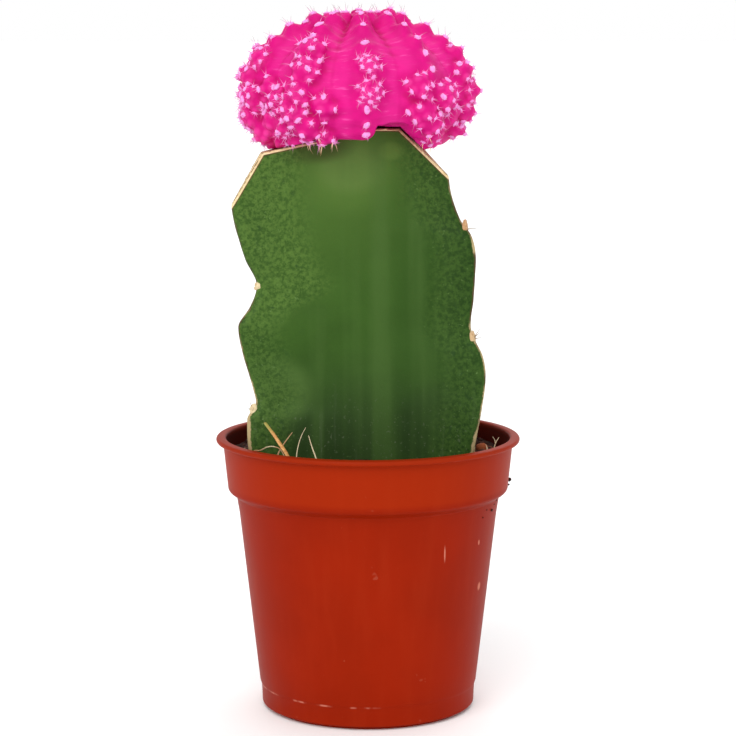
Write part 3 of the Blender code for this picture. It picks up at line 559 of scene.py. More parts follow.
def pot_profile(pot):
    """The pot's wall: up its inside, over the lip and down its outside."""
    lip, top, wall = pot.lip_radius, pot.height, pot.wall
    collar_top, collar_foot = lip * COLLAR_TOP_SHARE, lip * COLLAR_FOOT_SHARE
    body_top, base = lip * BODY_SHARE, lip * BASE_SHARE
    step_foot, foot_top = COLLAR_FOOT - COLLAR_STEP, FOOT_LIFT + FOOT_ROUNDING
    floor_edge = base - wall - FLOOR_ROUNDING
    inside = [(0.0, FLOOR), (HUB_RADIUS, FLOOR), (floor_edge, FLOOR)]
    inside += arc(floor_edge, FLOOR + FLOOR_ROUNDING, FLOOR_ROUNDING, -60, 0, 3)
    inside += [(body_top - wall, step_foot), (body_top - wall + 0.5 * MM, COLLAR_FOOT - 0.7 * MM),
               (collar_foot - wall - 0.3 * MM, COLLAR_FOOT), (collar_foot - wall, COLLAR_FOOT + 0.6 * MM),
               (collar_top - wall, top - 1.6 * MM)]
    inner = LIP_INNER_ROUNDING
    rim = arc(collar_top - wall + inner, top - inner, inner, 175, 92, 7)
    rim += arc(lip - LIP_ROUNDING, top - LIP_ROUNDING - 0.06 * MM, LIP_ROUNDING, 84, -84, 10)
    rim += [(collar_top + 0.45 * MM, top - 1.24 * MM)]
    rim += arc(collar_top + 0.42 * MM, top - 1.66 * MM, 0.38 * MM, 110, 178, 5)
    rim += [(collar_top - 0.02 * MM, top - 2.3 * MM)]
    belt = arc(collar_foot - 1.1 * MM, COLLAR_FOOT + 0.3 * MM, 1.1 * MM, 4, -62, 7)
    belt += arc(body_top + 0.75 * MM, step_foot - 0.15 * MM, 0.62 * MM, 118, 178, 5)
    side = [(base + (body_top - base) * share - 0.02 * MM, foot_top + (step_foot - foot_top) * share)
            for share in (0.92, 0.75, 0.55, 0.35, 0.2, 0.1)]
    mould = [(base + 0.36 * MM, MOULD_LINE + 0.25 * MM), (base + 0.28 * MM, MOULD_LINE),
             (base + 0.16 * MM, MOULD_LINE - 0.25 * MM)]
    foot = arc(base - FOOT_ROUNDING, foot_top, FOOT_ROUNDING, -3, -90, 8)
    foot += [(base - 1.35 * MM, FOOT_LIFT - 0.04 * MM), (base - 1.5 * MM, FOOT_LIFT - 0.2 * MM),
             (base - 1.55 * MM, 0.0)]
    ring = base - FOOT_RING
    under = [(ring, 0.0), (ring - 0.3 * MM, 0.15 * MM), (ring - 0.6 * MM, CHANNEL),
             (HUB_RADIUS + 0.6 * MM, CHANNEL), (HUB_RADIUS + 0.3 * MM, 0.15 * MM), (HUB_RADIUS, 0.0),
             (0.0, 0.0)]
    return inside + rim + belt + side + mould + foot + under


def wall_outside(pot, height):
    """Outer radius of the pot's wall at a height."""
    if height < COLLAR_FOOT:
        share = height / (COLLAR_FOOT - COLLAR_STEP)
        return pot.lip_radius * (BASE_SHARE + (BODY_SHARE - BASE_SHARE) * share)
    share = (height - COLLAR_FOOT) / (pot.height - COLLAR_FOOT)
    return pot.lip_radius * (COLLAR_FOOT_SHARE + (COLLAR_TOP_SHARE - COLLAR_FOOT_SHARE) * share)


def painted_inner_shade(paint, pot):
    """Painted shade: 1 on the pot's inner wall, which is hardly lit, and 0 on its outside; it lightens under
    the lip.
    """
    height = paint.axis("Z")
    radial = paint.vector("LENGTH", paint.vector("MULTIPLY", paint.place, (1.0, 1.0, 0.0)), output="Value")
    slope = pot.lip_radius * (COLLAR_TOP_SHARE - COLLAR_FOOT_SHARE) / (pot.height - COLLAR_FOOT)
    depth = (height - COLLAR_FOOT) * slope + pot.lip_radius * COLLAR_FOOT_SHARE - radial
    behind = paint.mask(depth, 0.30 * MM, 0.45 * MM)
    above = paint.mask(height, COLLAR_FOOT + 2.0 * MM, COLLAR_FOOT + 3.0 * MM)
    return behind * above * (1.0 - paint.mask(height, pot.height - 1.4 * MM, pot.height - 0.4 * MM) * 0.6)


def pot_paint(pot):
    """Terracotta-coloured plastic: faint flow marks, dust, scuffs and a broken pale mould line on the left,
    with painted light on the collar and painted shade on the inner wall.
    """
    paint = Paint("terracotta plastic")
    height = paint.axis("Z")
    cloud = paint.noise(55.0, 4.0)
    streak = paint.fibres((260.0, 260.0, 16.0))
    colour = paint.blend(paint.mask(cloud, 0.35, 0.7), shaded(pot.plastic, 0.90), pot.plastic)
    colour = paint.blend(paint.mask(streak, 0.45, 0.8) * 0.30, colour, POT_TONES["flow mark"])
    dust = paint.mask(paint.noise(900.0, 3.0, 0.7), 0.71, 0.79) * 0.20
    dust = dust + paint.mask(paint.noise(310.0, 2.0), 0.74, 0.79) * 0.12
    colour = paint.blend(dust, colour, POT_TONES["dust"])
    # A broken pale line along the mould line, only on the pot's left side
    line = paint.fade(abs(height - MOULD_LINE), 0.10 * MM, 0.28 * MM)
    broken = paint.mask(paint.fibres((190.0, 190.0, 40.0)), 0.47, 0.58)
    left = paint.fade(paint.axis("X"), 0.5 * MM, 3.0 * MM)
    colour = paint.blend(line * broken * left * 0.55, colour, POT_TONES["pale mould line"])
    # Painted light: the collar, from its step up to the lip, is painted lighter than the body below
    collar = paint.mask(height, COLLAR_FOOT, COLLAR_FOOT + 1.5 * MM)
    colour = paint.blend(collar * 0.5, colour, POT_TONES["collar"])
    lip = paint.mask(height, pot.height - 1.2 * MM, pot.height - 0.3 * MM)
    colour = paint.blend(lip * 0.35, colour, POT_TONES["lip"])
    # Painted shade on the pot's hardly lit inner wall
    colour = paint.blend(painted_inner_shade(paint, pot) * 0.85, colour, POT_TONES["inside"])
    scuffs = 0.0
    for spot, radius, squash in POT_SCUFFS:
        scuffs = scuffs + paint.near(spot, radius, squash)
    colour = paint.blend(scuffs * 0.55, colour, POT_TONES["scuff"])
    rough = 0.40 + cloud * 0.10 + dust * 0.4 + scuffs * 0.2
    relief = paint.bump(cloud, 0.25 * MM, 0.25)
    relief = paint.bump(streak, 0.12 * MM, 0.25, relief)
    relief = paint.bump(paint.noise(2400.0, 2.0), 0.02 * MM, 0.35, relief)
    return paint.finish(Base_Color=colour, Roughness=rough, Normal=relief, Specular_IOR_Level=0.04)


def drain_cutters(pot):
    """Rods through the channel of the pot's floor, one for each drainage hole."""
    bm = bmesh.new()
    middle = (pot.lip_radius * BASE_SHARE - FOOT_RING + HUB_RADIUS) / 2
    for number in range(DRAIN_HOLES):
        turn = Matrix.Rotation((number + 0.5) * math.tau / DRAIN_HOLES, 4, "Z")
        bmesh.ops.create_cone(bm, cap_ends=True, segments=24, radius1=DRAIN_RADIUS, radius2=DRAIN_RADIUS,
                              depth=4 * FLOOR, matrix=turn @ Matrix.Translation((middle, 0.0, FLOOR / 2)))
    return bpy.data.objects.new("drains", mesh_of("drains", bm))


def cut_away(piece, cutter):
    """Cuts a piece with a helper object, which is then removed, and clears the cut of tiny faces."""
    bpy.context.scene.collection.objects.link(cutter)
    step = piece.modifiers.new("Cut", "BOOLEAN")
    step.operation = "DIFFERENCE"
    step.object = cutter
    apply_modifiers(piece)
    bpy.data.objects.remove(cutter, do_unlink=True)
    bm = bmesh.new()
    bm.from_mesh(piece.data)
    bmesh.ops.remove_doubles(bm, verts=bm.verts, dist=0.004 * MM)
    bmesh.ops.dissolve_degenerate(bm, edges=bm.edges, dist=0.002 * MM)
    bm.to_mesh(piece.data)
    bm.free()


def build_pot(pot):
    bm = turned(pot_profile(pot), pot.sides)
    for point in bm.verts:
        around = math.atan2(point.co.y, point.co.x)
        sway = 1.0 + OUT_OF_ROUND * math.sin(2 * around + 0.6) * point.co.z / pot.height
        point.co.x *= sway
        point.co.y *= sway
    piece = new_piece("nursery_pot", bm, pot_paint(pot), ["pot"])
    cut_away(piece, drain_cutters(pot))
    piece.data.set_sharp_from_angle(angle=math.radians(50.0))


def soil_height(x, y, soil):
    """Height of the soil's low mounds over a point."""
    across = math.sin(x / (6.1 * MM) + 0.7) * math.cos(y / (7.3 * MM) - 0.4)
    along_y = math.sin((x + y) / (9.7 * MM) + 1.9)
    return soil.top + soil.relief * (across + 0.6 * along_y)


def stem_hole():
    """A helper that stands off the stem on all sides, to make room for it."""
    bm = bmesh.new()
    bm.from_mesh(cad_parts["rootstock"].data)
    bmesh.ops.remove_doubles(bm, verts=bm.verts, dist=0.001 * MM)
    bmesh.ops.recalc_face_normals(bm, faces=bm.faces)
    moves = [(point, point.normal * STEM_ROOM) for point in bm.verts]
    for point, move in moves:
        point.co += move
    return bpy.data.objects.new("stem hole", mesh_of("stem hole", bm))


def build_soil(soil, pot):
    side = [(wall_outside(pot, height) - pot.wall - SOIL_CLEARANCE, height)
            for height in [soil.top] + in_metres(SOIL_LEVELS)]
    top = [(side[0][0] * ring / SOIL_RINGS, soil.top) for ring in range(SOIL_RINGS)]
    bm = turned(top + side + [(0.0, SOIL_FOOT)], SOIL_SIDES)
    for point in bm.verts:
        if point.co.z > soil.top - 0.1 * MM:
            point.co.z = soil_height(point.co.x, point.co.y, soil) + grit(point.co)
    piece = new_piece("potting_soil", bm, peat_paint(soil), ["soil"])
    cut_away(piece, stem_hole())
    build_crumbs(soil, pot)


def grit(place):
    """Fine relief of the soil's surface at a point."""
    coarse = noise.noise(place / (2.6 * MM))
    fine = noise.noise(place / (0.9 * MM) + Vector((7.0, 3.0, 5.0)))
    return (0.42 * coarse + 0.22 * fine) * MM


def lump(bm, template, matrix, tint):
    """Adds one copy of a small template, turned, sized and tinted, to a bmesh."""
    scratch, shape = template
    scratch.vertices.foreach_set("co", shape)
    scratch.transform(matrix)
    scratch.attributes["tint"].data.foreach_set("value", [tint] * len(scratch.vertices))
    bm.from_mesh(scratch)


def template_of(bm):
    """A template for lump: a mesh that takes a tint, and a copy of its places."""
    mesh = mesh_of("template", bm)
    mesh.attributes.new("tint", "FLOAT", "POINT")
    return mesh, vectors(mesh).ravel()


def rough_ball(chance, jitter, subdivisions=2):
    """A template of a lumpy ball of unit radius."""
    bm = bmesh.new()
    bmesh.ops.create_icosphere(bm, subdivisions=subdivisions, radius=1.0)
    for point in bm.verts:
        point.co *= chance.uniform(1.0 - jitter, 1.0 + jitter)
    return template_of(bm)


def turned_to(direction, spin=0.0):
    return direction.to_track_quat("Z", "Y").to_matrix().to_4x4() @ Matrix.Rotation(spin, 4, "Z")


def on_soil(chance, soil, pot):
    """A random place on the soil, clear of the stem and of the pot's wall."""
    limit = wall_outside(pot, soil.top) - 2.4 * MM
    while True:
        x, y = chance.uniform(-1, 1) * limit, chance.uniform(-1, 1) * limit
        if math.hypot(x, y) < limit and not in_stem(x, y, soil.top, 0.5 * MM):
            return Vector((x, y, soil_height(x, y, soil)))


def build_crumbs(soil, pot):
    """Loose peat crumbs, a few bark bits and pale grains, and crumbs stuck to the pot's collar."""
    chance = random.Random(SOIL_SEED)
    templates = [rough_ball(chance, 0.24) for number in range(5)]
    bm = bmesh.new()
    for number in range(soil.crumbs):
        size = chance.choice(CRUMB_SIZES) * MM
        at = on_soil(chance, soil, pot)
        low = at.y < LOW_FRONT or (at.x < LOW_LEFT and at.y < LOW_LEFT_BACK)
        size = min(size, LOW_CRUMB) if low else size
        at.z += size * (-0.3 if low else 0.25)
        squash = sized(chance.uniform(0.7, 1.5) * size, chance.uniform(0.6, 1.0) * size, 0.7 * size)
        spin = Matrix.Rotation(chance.uniform(0, math.tau), 4, "Z")
        spin = spin @ Matrix.Rotation(chance.uniform(-0.5, 0.5), 4, "X")
        lump(bm, chance.choice(templates), Matrix.Translation(at) @ spin @ squash, chance.uniform(0.0, 0.72))
    for place, size, tint in SOIL_BITS:
        template = chance.choice(templates)
        x, y, over = in_metres(place)
        at = Vector((x, y, soil_height(x, y, soil) + over))
        spin = Matrix.Rotation(chance.uniform(-0.6, 0.6), 4, "Z") @ Matrix.Rotation(0.3, 4, "Y")
        lump(bm, template, Matrix.Translation(at) @ spin @ sized(*in_metres(size)), tint)
    for azimuth, height, size in COLLAR_CRUMBS:
        radius = wall_outside(pot, height * MM) + size * 0.55 * MM
        level = heading(azimuth, 90.0) * radius
        at = Vector((level.x, level.y, height * MM))
        squash = sized(size * MM, size * 0.8 * MM, size * 0.7 * MM)
        lump(bm, chance.choice(templates), Matrix.Translation(at) @ turned_to(level) @ squash, 0.1)
    new_piece("soil_crumbs", bm, crumb_paint(soil))


def peat_paint(soil):
    """Damp peat: near black with brown fibres and paler specks."""
    paint = Paint("damp peat")
    lumps = paint.noise(420.0, 5.0, 0.65)
    fibres = paint.fibres((1500.0, 300.0, 900.0), 4.0)
    specks = paint.mask(paint.noise(1700.0, 1.0), 0.70, 0.74)
    colour = paint.blend(paint.mask(lumps, 0.35, 0.7), shaded(soil.peat, 0.45), shaded(soil.peat, 1.9))
    colour = paint.blend(paint.mask(fibres, 0.60, 0.72) * 0.55, colour, SOIL_TONES["fibre"])
    colour = paint.blend(specks * 0.5, colour, SOIL_TONES["speck"])
    relief = paint.bump(lumps, 0.6 * MM, 0.8)
    relief = paint.bump(fibres, 0.2 * MM, 0.6, relief)
    return paint.finish(Base_Color=colour, Roughness=0.85, Normal=relief, Specular_IOR_Level=0.1)


def crumb_paint(soil):
    """Crumbs from black peat through reddish bark to pale grains, by their tint."""
    paint = Paint("crumbs and bark")
    tint = paint.attribute("tint")
    grain = paint.noise(1300.0, 4.0, 0.6)
    colour = paint.blend(paint.mask(grain, 0.3, 0.75), shaded(soil.peat, 0.5), shaded(soil.peat, 2.2))
    colour = paint.blend(paint.mask(tint, 0.45, 0.72) * 0.7, colour, SOIL_TONES["brown"])
    colour = paint.blend(paint.mask(tint, 0.74, 0.82), colour, SOIL_TONES["bark"])
    colour = paint.blend(paint.mask(tint, 0.86, 0.94), colour, SOIL_TONES["grain"])
    relief = paint.bump(grain, 0.25 * MM, 0.7)
    return paint.finish(Base_Color=colour, Roughness=0.85, Normal=relief, Specular_IOR_Level=0.1)


def along(points, height):
    """A smooth curve through (height, value) points that run downwards."""
    points = sorted(points)
    if height <= points[0][0]:
        return points[0][1]
    if height >= points[-1][0]:
        return points[-1][1]
    rises = [(b[1] - a[1]) / (b[0] - a[0]) for a, b in zip(points, points[1:])]
    slopes = [rises[0]] + [(a + b) / 2 if a * b > 0 else 0.0 for a, b in zip(rises, rises[1:])] + [rises[-1]]
    at = max(i for i in range(len(points) - 1) if points[i][0] <= height)
    (low, start), (high, end) = points[at], points[at + 1]
    span = high - low
    t = (height - low) / span
    return (start * (2 * t ** 3 - 3 * t ** 2 + 1) + end * (3 * t ** 2 - 2 * t ** 3)
            + span * (slopes[at] * (t ** 3 - 2 * t ** 2 + t) + slopes[at + 1] * (t ** 3 - t ** 2)))


def reach_at(rib, height):
    """A margin's reach from the stem's axis at a height, both in mm, and how far the stem has thinned."""
    thinned = along(BURIED_TAPER, height)
    return along((LEFT_MARGIN, RIGHT_MARGIN, BACK_MARGIN)[rib], height) * thinned, thinned


def rib_frame(rib):
    """Unit vectors outwards along a rib and to its left."""
    turn = math.radians(RIB_TURNS[rib])
    return Vector((math.cos(turn), math.sin(turn), 0.0)), Vector((-math.sin(turn), math.cos(turn), 0.0))


def margin(rib, height):
    return STEM_AXIS + (rib_frame(rib)[0] * reach_at(rib, height)[0] + Vector((0, 0, height))) * MM


def in_stem(x, y, height, spare):
    """Whether a point, in metres, lies inside the stem's section or closer to it than spare."""
    place = Vector((x, y, 0.0)) - Vector((STEM_AXIS.x, STEM_AXIS.y, 0.0))
    for rib in range(3):
        reach, thinned = reach_at(rib, height / MM)
        outward, aside = rib_frame(rib)
        out, off = place.dot(outward) / MM, abs(place.dot(aside)) / MM
        foot = VALLEY * thinned * VALLEY_OUT
        if out < foot - 0.01:
            continue
        share = min(1.0, max(0.0, (reach - out) / (reach - foot)))
        half = (EDGE + (VALLEY * VALLEY_ASIDE - EDGE) * share ** FLANK_CURVE) * thinned
        if out < reach + spare / MM and off < half + spare / MM:
            return True
    return False


def flank(rib, height, side, steps):
    """Section of one rib flank from its margin to the valley beside it."""
    reach, scale = reach_at(rib, height)
    outward, aside = rib_frame(rib)
    foot, width, edge = VALLEY * scale * VALLEY_OUT, VALLEY * scale * VALLEY_ASIDE, EDGE * scale
    points = []
    for step in range(1, steps + 1):
        share = (step / steps) ** FLANK_CROWDING
        rounding = math.sqrt(min(1.0, share / EDGE_SHARE))
        out = reach - (reach - foot) * share
        off = edge * rounding + (width - edge) * share ** FLANK_CURVE
        points.append(STEM_AXIS + (outward * out + aside * off * side + Vector((0, 0, height))) * MM)
    return points


def stem_ring(height, steps):
    """One level of the stem: margin, flank and valley of each rib in turn."""
    ring = []
    for rib in (2, 0, 1):
        ring += flank(rib, height, -1, steps)[-2::-1] + [margin(rib, height)] + flank(rib, height, 1, steps)
    return ring


def cut_plane(upper, lower, turn):
    """A point and the upward normal of one of the flat cuts on the stem."""
    start = Vector(upper) * MM
    run = Vector(lower) * MM - start
    run_in_view = Vector((run.x, 0.0, run.z)) if abs(turn) < 45.0 else run
    across = Vector((math.sin(math.radians(turn)), math.cos(math.radians(turn)), 0.0))
    normal = run_in_view.cross(across).normalized()
    return start, normal if normal.z > 0 else -normal


def cut_flat(bm, through, normal):
    """Cuts away what lies beyond a plane and closes the flat it leaves."""
    everything = bm.verts[:] + bm.edges[:] + bm.faces[:]
    cut = bmesh.ops.bisect_plane(bm, geom=everything, plane_co=through, plane_no=normal, clear_outer=True)
    edges = only(bmesh.types.BMEdge, cut["geom_cut"])
    for face in bmesh.ops.contextual_create(bm, geom=edges)["faces"]:
        face.material_index = 1


def callus(bm, rim):
    """Chamfers the skin round the trimmed flats: a pale strip with a brown line on either side."""
    for cut in CUTS:
        through, normal = cut_plane(*cut)
        skin = [face for face in bm.faces if face.material_index == 0]
        parts = dict.fromkeys(part for face in skin for part in (face, *face.edges, *face.verts))
        bmesh.ops.bisect_plane(bm, geom=list(parts), plane_co=through - normal * CALLUS, plane_no=normal)
        for face in bm.faces:
            if face.material_index == 0 and (face.calc_center_median() - through).dot(normal) > -CALLUS:
                face.material_index = 2
    bm.normal_update()
    border = {}
    for face in bm.faces:
        if face.material_index == 1:
            for point in face.verts:
                border.setdefault(point, []).append(face.normal)
    moves = []
    for point, flats in border.items():
        skin = sum((face.normal for face in point.link_faces if face.material_index == 2), Vector())
        for flat in flats:
            skin -= flat * skin.dot(flat)
        if skin.length > 0.01:
            moves.append((point, skin.normalized() * -0.8 * CALLUS))
        point[rim] = 1.0
    for point, move in moves:
        point.co += move
    for face in bm.faces:
        face.material_index = min(face.material_index, 1)


def unevenness(place):
    """How far the stem's skin stands proud of its even form at a point."""
    broad = noise.noise(place / (11.0 * MM)) * 0.22
    small = noise.noise(place / (3.2 * MM) + Vector((4.0, 9.0, 2.0))) * 0.07
    return (broad + small) * MM


def skin_of_stem(stem):
    """The stem's skin, drawn up level by level, and cut off flat where its top was trimmed."""
    bm = bmesh.new()
    order = bm.verts.layers.int.new("order")
    ring = [bm.verts.new(point) for point in stem_ring(STEM_FOOT, stem.flank_steps)]
    for number, point in enumerate(ring):
        point[order] = number
    loop = [bm.edges.new(pair) for pair in zip(ring, ring[1:] + ring[:1])]
    bmesh.ops.contextual_create(bm, geom=loop)
    levels = round((STEM_CROWN - STEM_FOOT) * MM / stem.level_step)
    for level in range(1, levels + 1):
        section = stem_ring(STEM_FOOT + (STEM_CROWN - STEM_FOOT) * level / levels, stem.flank_steps)
        made = bmesh.ops.extrude_edge_only(bm, edges=loop)["geom"]
        points = set(only(bmesh.types.BMVert, made))
        for point in points:
            point.co = section[point[order]]
        loop = [edge for edge in only(bmesh.types.BMEdge, made) if points.issuperset(edge.verts)]
    bmesh.ops.contextual_create(bm, geom=loop)
    bmesh.ops.recalc_face_normals(bm, faces=bm.faces)
    for cut in CUTS:
        cut_flat(bm, *cut_plane(*cut))
    return bm


def margin_gaps(spots):
    """Distance in mm from each place of the stem's skin to the nearest rib margin at its height."""
    levels = np.linspace(STEM_FOOT, STEM_CROWN, 400)
    gaps = []
    for rib in range(3):
        line = np.array([margin(rib, height) for height in levels])
        x = np.interp(spots[:, 2], line[:, 2], line[:, 0])
        y = np.interp(spots[:, 2], line[:, 2], line[:, 1])
        gaps.append(np.hypot(spots[:, 0] - x, spots[:, 1] - y) / MM)
    return np.min(gaps, axis=0)


def build_stem(stem):
    bm = skin_of_stem(stem)
    bm.normal_update()
    trimmed = {point for face in bm.faces if face.material_index == 1 for point in face.verts}
    for point in bm.verts:
        if point not in trimmed:
            point.co += point.normal * unevenness(point.co)
    rim = bm.verts.layers.float.new("rim")
    flats = [face for face in bm.faces if face.material_index == 1]
    callus(bm, rim)
    bmesh.ops.inset_individual(bm, faces=flats, thickness=0.4 * MM, depth=-0.2 * MM, use_even_offset=False)
    for face in flats:
        for point in face.verts:
            point[rim] = 0.0
    bmesh.ops.triangulate(bm, faces=flats, ngon_method="BEAUTY")
    piece = new_piece("green_stem", bm, stem_paint(stem), ["rootstock"])
    piece.data.materials.append(flesh_paint(stem))
    store(piece.data, "margin", margin_gaps(vectors(piece.data)))
    piece.data.set_sharp_from_angle(angle=math.radians(38.0))
    build_stem_areoles()


def build_stem_areoles():
    """Corky wedges in the notches of the stem's margins, with little wool and a few dark spines."""
    chance = random.Random(SPINE_SEED)
    wool = bmesh.new()
    spines = bmesh.new()
    tufts = [rough_ball(chance, 0.16) for number in range(3)]
    wedge = rough_ball(chance, 0.10, 3)
    spine = spine_template(6, 0.12)
    for rib, height, out, tall, tint, standing in STEM_AREOLES:
        outward, aside = rib_frame(rib)
        at = margin(rib, height) - outward * 0.35 * MM
        facing = Matrix((aside, Vector((0, 0, 1)), outward)).transposed().to_4x4()
        shape = sized(0.85 * MM, tall * MM, out * MM)
        lump(wool, wedge, Matrix.Translation(at) @ facing @ shape, tint)
        for number in range(4):
            off = Vector((0.0, 0.0, chance.uniform(-0.8, 0.8) * tall)) + aside * chance.uniform(-0.5, 0.5)
            size = chance.uniform(0.30, 0.45) * MM
            seat = Matrix.Translation(at + off * MM + outward * out * 0.6 * MM)
            lump(wool, chance.choice(tufts), seat @ turned_to(outward) @ sized(size, size, size * 0.8),
                 chance.uniform(0.4, 1.0) * tint)
        for up, lean, long in standing:
            way = (outward + Vector((0, 0, up)) + aside * lean).normalized()
            shape = sized(STEM_SPINE_RADIUS, STEM_SPINE_RADIUS, long * MM)
            lump(spines, spine, Matrix.Translation(at + outward * 0.3 * MM) @ turned_to(way) @ shape,
                 chance.uniform(0.7, 1.0))
    new_piece("stem_areole_wool", wool, wool_paint(*STEM_WOOL_TONES, 0.8))
    new_piece("stem_spines", spines, spine_paint(*STEM_SPINE_TONES))


def waxy_green(paint, stem, shade, clouds):
    """The skin between the margins: clouded, olive to the upper left, darker at the foot, with painted shade
    towards the right and a painted shadow under the head's front edge.
    """
    across, height = paint.axis("X"), paint.axis("Z")
    colour = paint.blend(paint.mask(clouds, 0.3, 0.7), shaded(stem.skin, 0.82), stem.skin)
    olive = paint.mask(height + across * -0.6, 85.0 * MM, 128.0 * MM) * 0.8
    colour = paint.blend(olive, colour, STEM_TONES["olive"])
    colour = paint.blend(paint.fade(height, 58.0 * MM, 82.0 * MM) * 0.80, colour, STEM_TONES["foot"])
    # Painted shade: darker towards the stem's right
    colour = paint.blend(shade * 0.85, colour, STEM_TONES["shade"])
    # Patches of the skin's own colour, and a painted shadow under the head and painted shade low at the right
    for place, radius, squash, strength, tone in STEM_PATCHES_AND_SHADE:
        patch = paint.near(place, radius, squash) * strength
        colour = paint.blend(patch * (0.6 + clouds * 0.8), colour, tone)
    bands = paint.fibres((230.0, 230.0, 9.0), 2.0, 0.5)
    return paint.blend(paint.mask(bands, 0.40, 0.75) * 0.5, colour, STEM_TONES["band"])


def mottled_wing(paint, shade, mottle):
    """The mottled skin beside a margin, with painted shade towards the stem's right, and darker low down."""
    spots = paint.mask(mottle, 0.36, 0.64)
    # Painted shade on the wing towards the stem's right
    wing = paint.blend(shade * 0.95, paint.blend(spots, *WING_TONES), paint.blend(spots, *SHADED_WING_TONES))
    low = paint.fade(paint.axis("Z"), 80.0 * MM, 90.0 * MM) * 0.55
    return paint.blend(low, wing, paint.blend(spots, *LOW_WING_TONES))


def specks_and_dust(paint, colour, edge_side):
    """Adds pale and dark specks, and the dust and water runs of the stem's foot."""
    low = paint.fade(paint.axis("Z"), 58.0 * MM, 76.0 * MM)
    pale = paint.mask(paint.noise(1700.0, 2.0), 0.66, 0.76) * (edge_side * 0.5 + low * 0.3)
    colour = paint.blend(pale, colour, STEM_TONES["pale speck"])
    dark = paint.mask(paint.noise(430.0, 4.0, 0.6), 0.60, 0.72) * (edge_side * 0.6 + 0.08)
    colour = paint.blend(dark, colour, STEM_TONES["dark speck"])
    dust = paint.mask(paint.noise(1500.0, 3.0), 0.62, 0.74) * low
    colour = paint.blend(dust * 0.4, colour, STEM_TONES["dust"])
    runs = paint.mask(paint.fibres((900.0, 900.0, 45.0)), 0.56, 0.72)
    return paint.blend(runs * low * 0.2, colour, STEM_TONES["run"])


def cut_lines(paint):
    """1 on the brown line that runs under each trimmed flat."""
    brown = 0.0
    for cut in CUTS:
        through, normal = cut_plane(*cut)
        line = paint.mask(paint.beyond(through, normal), -1.6 * CALLUS, -1.2 * CALLUS)
        brown = paint.math("MAXIMUM", brown, line)
    return brown


def stem_paint(stem):
    """Waxy green skin, mottled beside its horny margins, with cork in places and a brown line at the cuts."""
    paint = Paint("green skin")
    across, height = paint.axis("X"), paint.axis("Z")
    gap = paint.attribute("margin")
    clouds, mottle = paint.noise(75.0, 5.0, 0.6), paint.noise(1150.0, 4.0, 0.7)
    # Painted shade: 0 at the stem's left, rising to 1 at its right, as though lit from the left
    shade = paint.mask(across, -2.0 * MM, 22.0 * MM)
    left_wing = paint.fade(across, -6.0 * MM, -2.0 * MM) * paint.mask(height, 86.0 * MM, 92.0 * MM)
    edge_side = paint.fade(gap - left_wing * 6.0, 4.0, 12.0)
    colour = waxy_green(paint, stem, shade, clouds)
    colour = paint.blend(edge_side * 0.75, colour, mottled_wing(paint, shade, mottle))
    colour = specks_and_dust(paint, colour, edge_side)
    cork = 0.0
    for place, radius in CORKY_MARGINS:
        cork = cork + paint.near(place, radius, (1.0, 1.0, 0.9))
    ragged = gap + (mottle - 0.5) * 1.1 - cork * 0.45
    horn = paint.fade(ragged + left_wing * 0.12 + 0.10, 0.25, 0.60)
    tan = paint.blend(paint.mask(paint.noise(160.0, 3.0) + cork * 0.3, 0.4, 0.6), *CORK_TONES)
    tan = paint.blend(left_wing * 0.85, tan, STEM_TONES["green horn"])
    colour = paint.blend(horn, colour, tan)
    colour = paint.blend(cut_lines(paint) * 0.85, colour, STEM_TONES["cut line"])
    rough = 0.42 + mottle * 0.12 + horn * 0.25
    relief = paint.bump(clouds, 0.8 * MM, 0.25)
    relief = paint.bump(mottle, 0.10 * MM, 0.35, relief)
    return paint.finish(Base_Color=colour, Roughness=rough, Normal=relief, Specular_IOR_Level=0.06)


def flesh_paint(stem):
    """Dried flesh of a trimmed rib: cream, brown at its rim and in blotches."""
    paint = Paint("dried flesh")
    blotch = paint.mask(paint.noise(330.0, 4.0, 0.6), 0.48, 0.72)
    fibre = paint.fibres((300.0, 1500.0, 1500.0), 4.0)
    rim = paint.mask(paint.attribute("rim"), 0.50, 0.85)
    colour = paint.blend(blotch * 0.55, stem.flesh, FLESH_TONES["blotch"])
    colour = paint.blend(paint.mask(fibre, 0.52, 0.70) * 0.35, colour, FLESH_TONES["fibre"])
    colour = paint.blend(rim * 0.9, colour, FLESH_TONES["rim"])
    return paint.finish(Base_Color=colour, Roughness=0.7, Normal=paint.bump(fibre, 0.15 * MM, 0.5))


def wool_paint(light, shade, own=0.25):
    """Short felted wool, each tuft its own tint."""
    paint = Paint("areole wool")
    tint = paint.attribute("tint")
    hair = paint.noise(3200.0, 3.0, 0.7)
    colour = paint.blend(paint.mask(hair, 0.35, 0.7) * (1.0 - own * 0.8), shade, light)
    colour = paint.blend(tint * own, colour, light)
    return paint.finish(Base_Color=colour, Roughness=0.85, Normal=paint.bump(hair, 0.12 * MM, 0.7),
                        Sheen_Weight=0.3)


def spine_paint(root, tip):
    """Spines: the standing ones, with a high tint, turn to another colour towards their tips."""
    paint = Paint("spines")
    tint = paint.attribute("tint")
    ageing = paint.mask(paint.attribute("along") + (tint - 0.8) * 0.6, 0.35, 0.85)
    colour = paint.blend(ageing * paint.mask(tint, 0.45, 0.65), root, tip)
    return paint.finish(Base_Color=colour, Roughness=0.45, Specular_IOR_Level=0.3)


